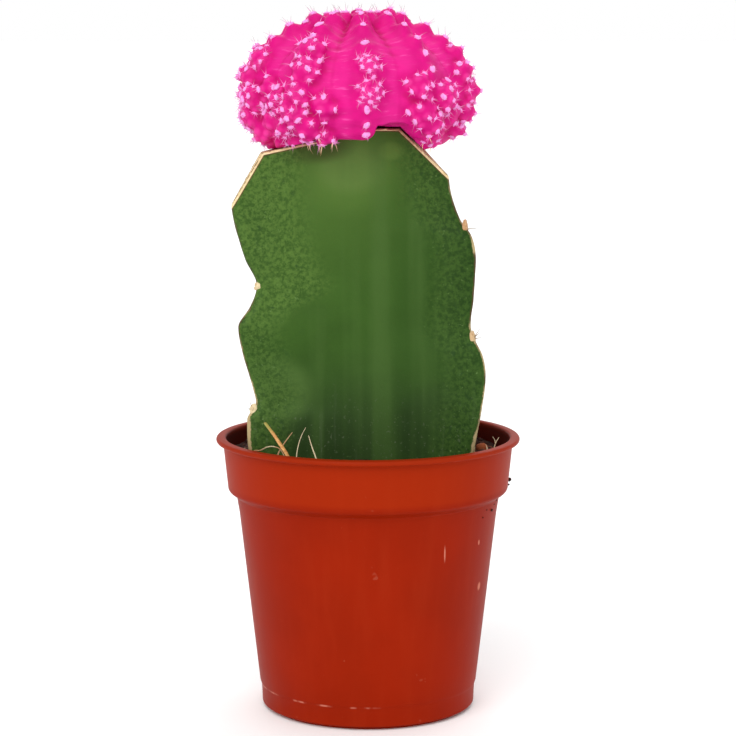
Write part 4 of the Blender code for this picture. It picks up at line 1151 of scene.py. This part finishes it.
def spine_template(sides, bend):
    """A template of a bent spine of unit length and unit radius along Z."""
    bm = bmesh.new()
    bmesh.ops.create_cone(bm, cap_ends=True, segments=sides, radius1=1.0, radius2=0.12, depth=1.0)
    bmesh.ops.translate(bm, verts=bm.verts, vec=(0.0, 0.0, 0.5))
    upright = [edge for edge in bm.edges if abs(edge.verts[0].co.z - edge.verts[1].co.z) > 0.5]
    bmesh.ops.subdivide_edges(bm, edges=upright, cuts=2)
    layer = bm.verts.layers.float.new("along")
    for point in bm.verts:
        point[layer] = point.co.z
    mesh, shape = template_of(bm)
    spots = shape.reshape(-1, 3)
    spots[:, 0] += bend * spots[:, 2] ** 2 * 6.0
    return mesh, spots.ravel()


def heading(azimuth, polar):
    """Unit vector for an azimuth and a polar angle in degrees."""
    a, p = math.radians(azimuth), math.radians(polar)
    return Vector((math.sin(p) * math.sin(a), -math.sin(p) * math.cos(a), math.cos(p)))


def rib_azimuth(rib):
    return FIRST_RIB + rib * 360.0 / HEAD_RIBS


def rib_off(azimuth):
    """0 on a rib's crest to 1 in the groove beside it."""
    spacing = 360.0 / HEAD_RIBS
    return np.abs((azimuth - FIRST_RIB + spacing / 2) % spacing - spacing / 2) / (spacing / 2)


def underside(azimuth, polar):
    """Depth of the head's hollow underside below its centre."""
    lift = FRONT_LIFT * np.clip((np.cos(np.radians(azimuth)) + LIFT_START) / LIFT_SPAN, 0.0, 1.0)
    lift = lift + NOTCH_LIFT * np.exp(-((azimuth - NOTCH_AZIMUTH) / NOTCH_SPREAD) ** 4)
    rim = np.sin(np.radians(polar)) / math.sin(math.radians(RIM_POLAR))
    return SEAT_DEPTH + (RIM_DEPTH - SEAT_DEPTH - lift) * rim


def groove(azimuth, polar, head):
    """Depth of the grooves between ribs: sharp on the crown, broad and low on the sides."""
    off = rib_off(azimuth)
    sharp = 1 - np.cos(off * math.pi / 2)
    broad = LOW_RIB_SHARE * (1 - np.cos(off * math.pi)) / 2
    low = np.clip((polar - LOW_RIBS[0]) / (LOW_RIBS[1] - LOW_RIBS[0]), 0.0, 1.0)
    return head.rib_depth * (sharp + (broad - sharp) * low) * np.sin(np.radians(polar)) ** RIB_FADE


def head_reach(azimuth, polar, head):
    """Distance from the head's centre to the skin of its ribbed body."""
    side, up = np.sin(np.radians(polar)), np.cos(np.radians(polar))
    half = np.where(up > 0, head.rise, head.drop)
    power = np.where(up > 0, *HEAD_ROUNDNESS)
    reach = ((side / head.radius) ** power + (np.abs(up) / half) ** power) ** (-1 / power)
    reach = reach - groove(azimuth, polar, head)
    under = underside(azimuth, polar) / np.maximum(np.abs(up), 0.05)
    return np.where(polar > UNDER_POLAR, np.minimum(reach, under), reach)


def angles(spots):
    """Azimuths and polar angles, in degrees, of places seen from the head's centre."""
    away = spots - np.array(HEAD_CENTRE)
    far = np.linalg.norm(away, axis=1)
    polar = np.degrees(np.arccos(np.clip(away[:, 2] / far, -1.0, 1.0)))
    return np.degrees(np.arctan2(away[:, 0], -away[:, 1])), polar


def head_point(azimuth, polar, head):
    return HEAD_CENTRE + heading(azimuth, polar) * float(head_reach(azimuth, np.float64(polar), head))


def head_normal(azimuth, polar, head):
    """Outward direction of the head's general round, without its grooves."""
    unit = heading(azimuth, polar)
    half = head.rise if unit.z > 0 else head.drop
    return Vector((unit.x / head.radius ** 2, unit.y / head.radius ** 2, unit.z / half ** 2)).normalized()


def pups():
    """Every pup of the head as its azimuth, polar angle and radius."""
    chance = random.Random(PUP_SEED)
    found = []
    for rib in range(-HEAD_RIBS // 2 + 1, HEAD_RIBS // 2 + 1):
        rows = FRONT_PUPS.get(rib)
        if rows is None:
            rows = [(row + chance.uniform(-3, 3), chance.uniform(-4, 4), chance.uniform(*PUP_RADII))
                    for row in CREST_ROWS]
            rows += [(row + chance.uniform(-3, 3), side * chance.uniform(*SIDE_PUP_OFFSETS),
                      chance.uniform(*SIDE_PUP_RADII)) for row, side in zip(SIDE_ROWS, (1, -1))]
        found += [(rib_azimuth(rib) + off, polar, radius * MM) for polar, off, radius in rows]
    return found


def pup_axis(pup, head):
    """A pup's centre and the way it faces."""
    azimuth, polar, radius = pup
    outward = head_normal(azimuth, polar, head)
    return head_point(azimuth, polar, head) - outward * radius * PUP_SINK, outward


def ring_ways(axis, rings, start):
    """Directions round an axis, in rings of (tilt from the axis, how many), and the axis itself."""
    aside = axis.orthogonal().normalized()
    across = axis.cross(aside)
    ways = [axis]
    for ring, (tilt, count) in enumerate(rings):
        for number in range(count):
            turn = math.radians(start + (number + 0.5 * ring) * 360.0 / count)
            level = aside * math.cos(turn) + across * math.sin(turn)
            ways.append(axis * math.cos(math.radians(tilt)) + level * math.sin(math.radians(tilt)))
    return ways


def crest_areoles(head):
    """Areoles straight on the ribs' crests and on the crown's single peaks."""
    chance = random.Random(PUP_SEED + 2)
    found = []
    for rib in range(-HEAD_RIBS // 2 + 1, HEAD_RIBS // 2 + 1):
        for polar in CROWN_AREOLES + CREST_AREOLES.get(rib, SIDE_CREST):
            found.append((rib_azimuth(rib), polar, CREST_KNOBS.get(polar, CREST_KNOB)))
    found += CROWN_PEAKS
    return [(head_point(azimuth, polar, head), head_normal(azimuth, polar, head), knob * MM,
             chance.uniform(0.62, 0.80) * MM, knob * 0.55 * MM + 0.9 * MM) for azimuth, polar, knob in found]


def head_areoles(head):
    """Every areole as (place, way it points, height of its tubercle, size of its wool, tubercle's width)."""
    chance = random.Random(PUP_SEED + 1)
    balls = [(*pup_axis(pup, head), pup) for pup in pups()]
    found = [areole for areole in crest_areoles(head)
             if not any((areole[0] - centre).length < pup[2] * 0.98 for centre, axis, pup in balls)]
    for centre, axis, pup in balls:
        front = abs(pup[0] - FIRST_RIB) < 3.0
        spacing = TIGHT_SPACING if front else LOOSE_SPACING
        for way in ring_ways(axis, TIGHT_RINGS if front else LOOSE_RINGS, pup[0] * 7.0):
            at = centre + way * pup[2] + Vector([chance.uniform(-0.25, 0.25) * MM for axis in range(3)])
            azimuth, polar = angles(np.array([at]))
            hidden = (at - HEAD_CENTRE).length < head_reach(azimuth, polar, head)[0] - 0.1 * MM
            inside = any((at - other).length < known[2] for other, a, known in balls if known is not pup)
            crowded = any((at - known[0]).length < spacing for known in found)
            if not hidden and not inside and not crowded and at.z > sight_limit(at.x, at.y) - 0.3 * MM:
                height = (0.45 if front else chance.uniform(0.65, 1.0)) * MM
                tuft = chance.uniform(0.38, 0.50) if front else chance.uniform(0.40, 0.66)
                found.append((at, way, height, tuft * MM, chance.uniform(0.68, 0.84) * MM))
    return found


def sight_limit(x, y):
    """Height that the head keeps over the stem's front corners, so that they stand free."""
    azimuth = np.degrees(np.arctan2(x - HEAD_CENTRE.x, -y))
    right = smooth_step(azimuth, 8.0, 11.0) * (1 - smooth_step(x, 12.6 * MM, 14.0 * MM))
    left = smooth_step(-x, 9.5 * MM, 11.0 * MM) * (1 - smooth_step(-x, 20.0 * MM, 21.5 * MM))
    limit = np.zeros_like(x)
    for beside, corner, over in ((right, RIGHT_CORNER, RIGHT_CORNER_GAP), (left, LEFT_CORNER, 0.0)):
        bound = stem_top(x, np.full_like(x, corner)) + (corner - y) * SIGHT_SLOPE + over
        bound = np.where((beside > 0) & (y < corner / 2), bound - (1 - beside) * 6.0 * MM, 0.0)
        limit = np.maximum(limit, bound)
    return limit


def head_blank(head):
    """The head's ribbed body and its pups as overlapping closed balls."""
    bm = bmesh.new()
    bmesh.ops.create_icosphere(bm, subdivisions=7, radius=1.0)
    spots = np.array([point.co for point in bm.verts]) + np.array(HEAD_CENTRE)
    azimuth, polar = angles(spots)
    reach = head_reach(azimuth, polar, head)
    for point, far in zip(bm.verts, reach):
        point.co = HEAD_CENTRE + point.co.normalized() * far
    for pup in pups():
        centre, axis = pup_axis(pup, head)
        bmesh.ops.create_icosphere(bm, subdivisions=4, radius=pup[2], matrix=Matrix.Translation(centre))
    return bm


def stem_top(x, y):
    """Height of the stem's trimmed top over points of the ground plane."""
    tops = []
    for cut in CUTS:
        through, normal = cut_plane(*cut)
        tops.append(through.z - (normal.x * (x - through.x) + normal.y * (y - through.y)) / normal.z)
    return np.min(tops, axis=0)


def clear_of_stem(spots):
    """Lifts places that lie in the stem, or hang before its front corners, over its trimmed top."""
    top = stem_top(spots[:, 0], spots[:, 1]) + HEAD_GAP
    for number in np.flatnonzero(spots[:, 2] < top):
        x, y, z = spots[number]
        if in_stem(x, y, max(z, 100.0 * MM), 0.15 * MM):
            spots[number, 2] = top[number]
    spots[:, 2] = np.maximum(spots[:, 2], sight_limit(spots[:, 0], spots[:, 1]))
    return spots


def share_of_neighbours(mesh, values, times):
    """Averages a value of each vertex with those it shares an edge with."""
    pairs = np.zeros(len(mesh.edges) * 2, dtype=np.int32)
    mesh.edges.foreach_get("vertices", pairs)
    first, second = pairs[0::2], pairs[1::2]
    count = np.bincount(pairs, minlength=len(mesh.vertices)).astype(float)
    for turn in range(times):
        total = np.zeros_like(values)
        np.add.at(total, first, values[second])
        np.add.at(total, second, values[first])
        values = total / (count if values.ndim == 1 else count[:, None])
    return values


def build_head(head):
    areoles = head_areoles(head)
    piece = new_piece("magenta_head", head_blank(head), head_paint(head), ["scion"])
    step = piece.modifiers.new("Skin", "REMESH")
    step.mode = "VOXEL"
    step.voxel_size = head.grain
    soften = piece.modifiers.new("Soften", "SMOOTH")
    soften.factor = 0.6
    soften.iterations = 3
    apply_modifiers(piece)
    mesh = piece.data
    mesh.shade_smooth()
    raise_tubercles(mesh, areoles, head)
    spots = clear_of_stem(vectors(mesh))
    mesh.vertices.foreach_set("co", spots.ravel())
    mesh.update()
    mark_head(mesh, areoles)
    dress_head(mesh, areoles, head)


def raise_tubercles(mesh, areoles, head):
    """Raises the low knob under each areole and the faint creases across the ribs' flanks."""
    spots, ways = vectors(mesh), vectors(mesh, "normal")
    lift = np.zeros(len(spots))
    for at, way, height, size, width in areoles:
        far = np.linalg.norm(spots - np.array(at), axis=1)
        knob = height * np.exp(-(far / width) ** 2) - DIMPLE_DEPTH * np.exp(-(far / DIMPLE_WIDTH) ** 2)
        lift = np.where(np.abs(knob) > np.abs(lift), knob, lift)
    azimuth, polar = angles(spots)
    off = rib_off(azimuth)
    crease = np.sin(np.radians(polar) * CREASES + 2.0 * np.sin(np.radians(azimuth) * 7.0))
    lift += CREASE_DEPTH * crease * smooth_step(off, 0.12, 0.4) * smooth_step(polar, 25.0, 45.0)
    spots += ways * lift[:, None]
    mesh.vertices.foreach_set("co", spots.ravel())
    mesh.update()


def mark_head(mesh, areoles):
    """Stores what the magenta skin's material reads: how hollow the creases are, for painted shade, and
    areoles, grooves and angles.
    """
    spots, ways = vectors(mesh), vectors(mesh, "normal")
    # How hollow each place is; the material paints shade there
    offset = share_of_neighbours(mesh, spots, 1) - spots
    hollow = np.einsum("ij,ij->i", share_of_neighbours(mesh, offset, 6), ways) / MM
    store(mesh, "hollow", share_of_neighbours(mesh, hollow, 3) * 40.0)
    tree = KDTree(len(areoles))
    for number, areole in enumerate(areoles):
        tree.insert(areole[0], number)
    tree.balance()
    store(mesh, "areole", [tree.find(spot)[2] / MM for spot in spots])
    azimuth, polar = angles(spots)
    store(mesh, "groove", rib_off(azimuth))
    store(mesh, "azimuth", azimuth)
    store(mesh, "polar", polar)


def dress_head(mesh, areoles, head):
    """Seats a tuft of wool and a cluster of spines on each areole that isn't between head and stem."""
    chance = random.Random(SPINE_SEED)
    bm = bmesh.new()
    bm.from_mesh(mesh)
    skin = BVHTree.FromBMesh(bm)
    bm.free()
    wool, spines, hanging = bmesh.new(), bmesh.new(), bmesh.new()
    tufts = [rough_ball(chance, 0.22) for number in range(6)]
    bent = [spine_template(5, bend) for bend in (0.0, 0.6, 1.1)]
    below, before, beside = HANGING_ZONE
    for at, way, height, size, width in areoles:
        seat, facing, face, far = skin.find_nearest(at + way * height)
        under = seat.z < 126.0 * MM and in_stem(seat.x, seat.y, 120.0 * MM, 0.6 * MM)
        if far > 1.5 * MM + height or under:
            continue
        up = (facing + way).normalized()
        tuft = chance.choice(tufts)
        squash = sized(size * chance.uniform(1.05, 1.35), size * chance.uniform(0.7, 0.95), size * 0.5)
        turn = turned_to(up, chance.uniform(0, math.tau))
        lump(wool, tuft, Matrix.Translation(seat + up * 0.05 * MM) @ turn @ squash, chance.random())
        grow_spines(spines, bent, seat, up, size, head, chance)
        if seat.z < below and seat.y < before and abs(seat.x) < beside:
            hang_spines(hanging, bent, seat, chance)
    new_piece("head_wool", wool, wool_paint(head.wool, shaded(head.wool, 0.80)))
    new_piece("head_spines", spines, spine_paint(*HEAD_SPINE_TONES))
    new_piece("hanging_spines", hanging, spine_paint(*HANGING_SPINE_TONES))


def grow_spines(spines, templates, seat, up, size, head, chance):
    """Short pale radial spines that lie low round an areole, and one or two long ones that stand up."""
    aside = up.orthogonal().normalized()
    across = up.cross(aside)
    radial = chance.randint(4, 6)
    start = chance.uniform(0, math.tau)
    for number in range(radial + chance.randint(1, 2)):
        turn = start + number * math.tau / radial + chance.uniform(-0.3, 0.3)
        standing = number >= radial
        rise = chance.uniform(0.8, 2.6) if standing else chance.uniform(0.10, 0.40)
        way = (aside * math.cos(turn) + across * math.sin(turn) + up * rise).normalized()
        long = head.spine_length * (chance.uniform(0.7, 1.0) if standing else chance.uniform(0.30, 0.46))
        thick = (0.065 if standing else 0.11) * MM
        tint = chance.uniform(0.6, 1.0) if standing else chance.uniform(0.0, 0.4)
        template = chance.choice(templates)
        turn = turned_to(way, chance.uniform(0, math.tau))
        lump(spines, template, Matrix.Translation(seat + up * size * 0.12) @ turn @ sized(thick, thick, long),
             tint)


def hang_spines(hanging, templates, seat, chance):
    """One or two longer pale spines that hang from the front of the head's lower edge."""
    for number in range(chance.choice((0, 0, 1, 1, 2))):
        way = Vector((chance.uniform(-0.7, 0.4), -0.5, -1.0)).normalized()
        shape = sized(0.11 * MM, 0.11 * MM, chance.uniform(1.6, 3.0) * MM)
        lump(hanging, chance.choice(templates), Matrix.Translation(seat) @ turned_to(way) @ shape,
             chance.uniform(0.4, 0.8))


def head_paint(head):
    """Magenta skin: paler on the flanks of its ribs, with fine creases, and painted shade in the hollows
    between its pups.
    """
    paint = Paint("magenta skin")
    groove, hollow = paint.attribute("groove"), paint.attribute("hollow")
    areole, polar = paint.attribute("areole"), paint.attribute("polar")
    cloud = paint.noise(220.0, 4.0, 0.6)
    round_place = paint.node("CombineXYZ", None, {0: paint.attribute("azimuth") * 0.035, 1: polar * 0.3})
    streak = paint.noise(1.6, 4.0, 0.65, round_place)
    flank = paint.mask(groove, 0.25, 0.7) * (1.0 - paint.mask(groove, 0.9, 1.0) * 0.5)
    flank = flank * paint.mask(areole, 1.6, 3.4)
    colour = paint.blend(paint.mask(cloud, 0.3, 0.7), shaded(head.skin, 0.86), head.skin)
    colour = paint.blend(flank * 0.55, colour, HEAD_TONES["flank"])
    colour = paint.blend(flank * paint.mask(streak, 0.54, 0.72) * 0.5, colour, HEAD_TONES["streak"])
    # Painted shade: darker in the hollows between the pups
    colour = paint.blend(paint.mask(hollow, 0.10, 0.7) * 0.75, colour, HEAD_TONES["hollow"])
    colour = paint.blend(paint.fade(areole, 0.5, 1.3) * 0.45, colour, HEAD_TONES["halo"])
    relief = paint.bump(cloud, 0.35 * MM, 0.5)
    relief = paint.bump(streak, 0.22 * MM, 0.5, relief)
    relief = paint.bump(paint.noise(2600.0, 2.0), 0.03 * MM, 0.5, relief)
    return paint.finish(Base_Color=colour, Roughness=0.5, Normal=relief, Specular_IOR_Level=0.10)


def smooth_route(points, steps):
    """A smooth curve through a route's own points."""
    ends = [points[0] * 2 - points[1]] + list(points) + [points[-1] * 2 - points[-2]]
    route = []
    for before, start, end, after in zip(ends, ends[1:], ends[2:], ends[3:]):
        for step in range(steps):
            t = step / steps
            rise, bend = end - before, 2 * before - 5 * start + 4 * end - after
            twist = 3 * start - before - 3 * end + after
            route.append(0.5 * (2 * start + rise * t + bend * t ** 2 + twist * t ** 3))
    return route + [points[-1]]


def strand(bm, route, radius, flat, thin_end, sides=8):
    """Draws a closed strand along a route: its section may be flattened, and thins towards its end."""
    layers = bm.verts.layers
    if layers.float.get("along") is None:
        layers.float.new("along")
        layers.int.new("order")
    along_route, order = layers.float["along"], layers.int["order"]
    made = bmesh.ops.create_circle(bm, segments=sides, radius=1.0)["verts"]
    edges = first = list(dict.fromkeys(edge for point in made for edge in point.link_edges))
    shape = [point.co.copy() for point in made]
    for number, point in enumerate(made):
        point[order] = number
    for step, place in enumerate(route):
        share = step / (len(route) - 1)
        if step:
            new = bmesh.ops.extrude_edge_only(bm, edges=edges)["geom"]
            made = set(only(bmesh.types.BMVert, new))
            edges = [edge for edge in only(bmesh.types.BMEdge, new) if made.issuperset(edge.verts)]
        way = route[min(step + 1, len(route) - 1)] - route[max(step - 1, 0)]
        size = radius * (1.0 - (1.0 - thin_end) * share ** 2)
        turn = Matrix.Translation(place) @ turned_to(way) @ sized(size, size * flat, size)
        for point in made:
            point.co = turn @ shape[point[order]]
            point[along_route] = share
    bmesh.ops.contextual_create(bm, geom=first)
    bmesh.ops.contextual_create(bm, geom=edges)
    bmesh.ops.recalc_face_normals(bm, faces=bm.faces)


def route_of(points, radius, soil):
    """A route given in mm over the soil, in metres."""
    spots = [Vector((x * MM, y * MM, soil_height(x * MM, y * MM, soil) + (radius + over + 0.1) * MM))
             for x, y, over in points]
    return smooth_route(spots, 7)


def build_litter(soil):
    straw = bmesh.new()
    radius, points = STRAW
    strand(straw, route_of(points, radius, soil), radius * MM, 0.6, 0.75, 10)
    new_piece("dry_straw", straw, straw_paint(), ["straw"])
    threads = bmesh.new()
    for radius, points in ROOT_THREADS:
        strand(threads, route_of(points, radius, soil), radius * MM, 0.8, 0.45)
    new_piece("root_threads", threads, thread_paint(),
              ["root_thread_1", "root_thread_2", "root_thread_3"])


def straw_paint():
    """Split straw: orange tan with long fibres, green at its broken tip."""
    paint = Paint("dry straw")
    share = paint.attribute("along")
    fibre = paint.noise(1500.0, 3.0, 0.7)
    colour = paint.blend(paint.mask(fibre, 0.35, 0.7), STRAW_TONES["dark"], STRAW_TONES["light"])
    tip = paint.mask(share + (fibre - 0.5) * 0.3, 0.72, 0.92)
    colour = paint.blend(tip * 0.8, colour, STRAW_TONES["tip"])
    return paint.finish(Base_Color=colour, Roughness=0.6, Normal=paint.bump(fibre, 0.1 * MM, 0.6))


def thread_paint():
    """Dry roots: cream with brown stretches."""
    paint = Paint("dry root")
    patch = paint.noise(190.0, 3.0, 0.6)
    colour = paint.blend(paint.mask(patch, 0.42, 0.62), *THREAD_TONES)
    relief = paint.bump(paint.noise(1800.0), 0.08 * MM, 0.6)
    return paint.finish(Base_Color=colour, Roughness=0.75, Normal=relief)


def lamp(name, way, spread, power, colour):
    """Soft light that falls from one side on the whole floor."""
    light = bpy.data.lights.new(name, "SUN")
    light.angle = math.radians(spread)
    light.energy = power
    light.color = colour
    shade = bpy.data.objects.new(name, light)
    shade.rotation_euler = (-Vector(way)).to_track_quat("-Z", "Y").to_euler()
    bpy.context.scene.collection.objects.link(shade)


def set_camera(stage):
    scene = bpy.context.scene
    camera = bpy.data.objects.new("camera", bpy.data.cameras.new("camera"))
    camera.data.lens = stage.lens
    camera.location = (0.0, -stage.distance, stage.eye_height)
    camera.rotation_euler = (math.radians(90.0) - stage.pitch, 0.0, 0.0)
    scene.collection.objects.link(camera)
    scene.camera = camera


def light_studio(stage):
    """White all round the horizon and dimmer overhead, with soft lamps."""
    sky = Paint("studio", "worlds")
    above = sky.mask(sky.axis("Z"), 0.08, 0.55)
    glow = sky.node("Background", None, {"Color": (1.0, 1.0, 1.0, 1.0),
                                         "Strength": 1.0 - above * (1.0 - stage.ambient)})
    sky.node("OutputWorld", None, {"Surface": glow})
    bpy.context.scene.world = sky.owner
    for settings in LAMPS:
        lamp(*settings)


def lay_floor(stage):
    bm = bmesh.new()
    bmesh.ops.create_grid(bm, x_segments=2, y_segments=2, size=20.0)
    mesh = mesh_of("floor", bm)
    floor = bpy.data.objects.new("floor", mesh)
    bpy.context.scene.collection.objects.link(floor)
    paint = Paint("white paper")
    colour = paint.blend(paint.noise(900.0, 2.0), stage.floor, shaded(stage.floor, 0.98))
    mesh.materials.append(paint.finish(Base_Color=colour, Roughness=0.9))


def build_stage(stage):
    bpy.context.scene.view_settings.view_transform = "Standard"
    set_camera(stage)
    light_studio(stage)
    lay_floor(stage)


class MOONCACTUS_OT_pot(bpy.types.Operator):
    """Turn the nursery pot and drill its drainage holes"""
    bl_idname = "mooncactus.pot"
    bl_label = "Pot"

    def execute(self, context):
        build_pot(context.scene.cactus_pot)
        return {"FINISHED"}


class MOONCACTUS_OT_soil(bpy.types.Operator):
    """Fill the pot with peat and scatter its crumbs"""
    bl_idname = "mooncactus.soil"
    bl_label = "Soil"

    def execute(self, context):
        build_soil(context.scene.cactus_soil, context.scene.cactus_pot)
        return {"FINISHED"}


class MOONCACTUS_OT_stem(bpy.types.Operator):
    """Draw up the green stem, trim its top and set its areoles"""
    bl_idname = "mooncactus.stem"
    bl_label = "Stem"

    def execute(self, context):
        build_stem(context.scene.cactus_stem)
        return {"FINISHED"}


class MOONCACTUS_OT_head(bpy.types.Operator):
    """Grow the magenta head with its pups, wool and spines"""
    bl_idname = "mooncactus.head"
    bl_label = "Head"

    def execute(self, context):
        build_head(context.scene.cactus_head)
        return {"FINISHED"}


class MOONCACTUS_OT_litter(bpy.types.Operator):
    """Lay the straw and the root threads on the soil"""
    bl_idname = "mooncactus.litter"
    bl_label = "Litter"

    def execute(self, context):
        build_litter(context.scene.cactus_soil)
        return {"FINISHED"}


class MOONCACTUS_OT_stage(bpy.types.Operator):
    """Set up the floor, the lamps and the camera"""
    bl_idname = "mooncactus.stage"
    bl_label = "Stage"

    def execute(self, context):
        build_stage(context.scene.cactus_stage)
        return {"FINISHED"}


class MOONCACTUS_PT_sidebar(bpy.types.Panel):
    """Steps of the potted moon cactus and their settings"""
    bl_label = "Potted Moon Cactus"
    bl_idname = "MOONCACTUS_PT_sidebar"
    bl_space_type = "VIEW_3D"
    bl_region_type = "UI"
    bl_category = "Moon Cactus"

    def draw(self, context):
        for step in STEPS:
            self.layout.operator(step.bl_idname)
        for name in SETTINGS:
            box = self.layout.box()
            for field in SETTINGS[name].__annotations__:
                box.prop(getattr(context.scene, name), field)


STEPS = (MOONCACTUS_OT_stage, MOONCACTUS_OT_pot, MOONCACTUS_OT_soil, MOONCACTUS_OT_stem,
         MOONCACTUS_OT_head, MOONCACTUS_OT_litter)
SETTINGS = {"cactus_pot": PotSettings, "cactus_soil": SoilSettings, "cactus_stem": StemSettings,
            "cactus_head": HeadSettings, "cactus_stage": StageSettings}


def register():
    for kind in (*SETTINGS.values(), *STEPS, MOONCACTUS_PT_sidebar):
        bpy.utils.register_class(kind)
    for name, kind in SETTINGS.items():
        setattr(bpy.types.Scene, name, PointerProperty(type=kind))


def unregister():
    for name in SETTINGS:
        delattr(bpy.types.Scene, name)
    for kind in (MOONCACTUS_PT_sidebar, *STEPS[::-1], *list(SETTINGS.values())[::-1]):
        bpy.utils.unregister_class(kind)


def main():
    register()
    for step in STEPS:
        group, name = step.bl_idname.split(".")
        getattr(getattr(bpy.ops, group), name)()


if __name__ == "__main__":
    main()
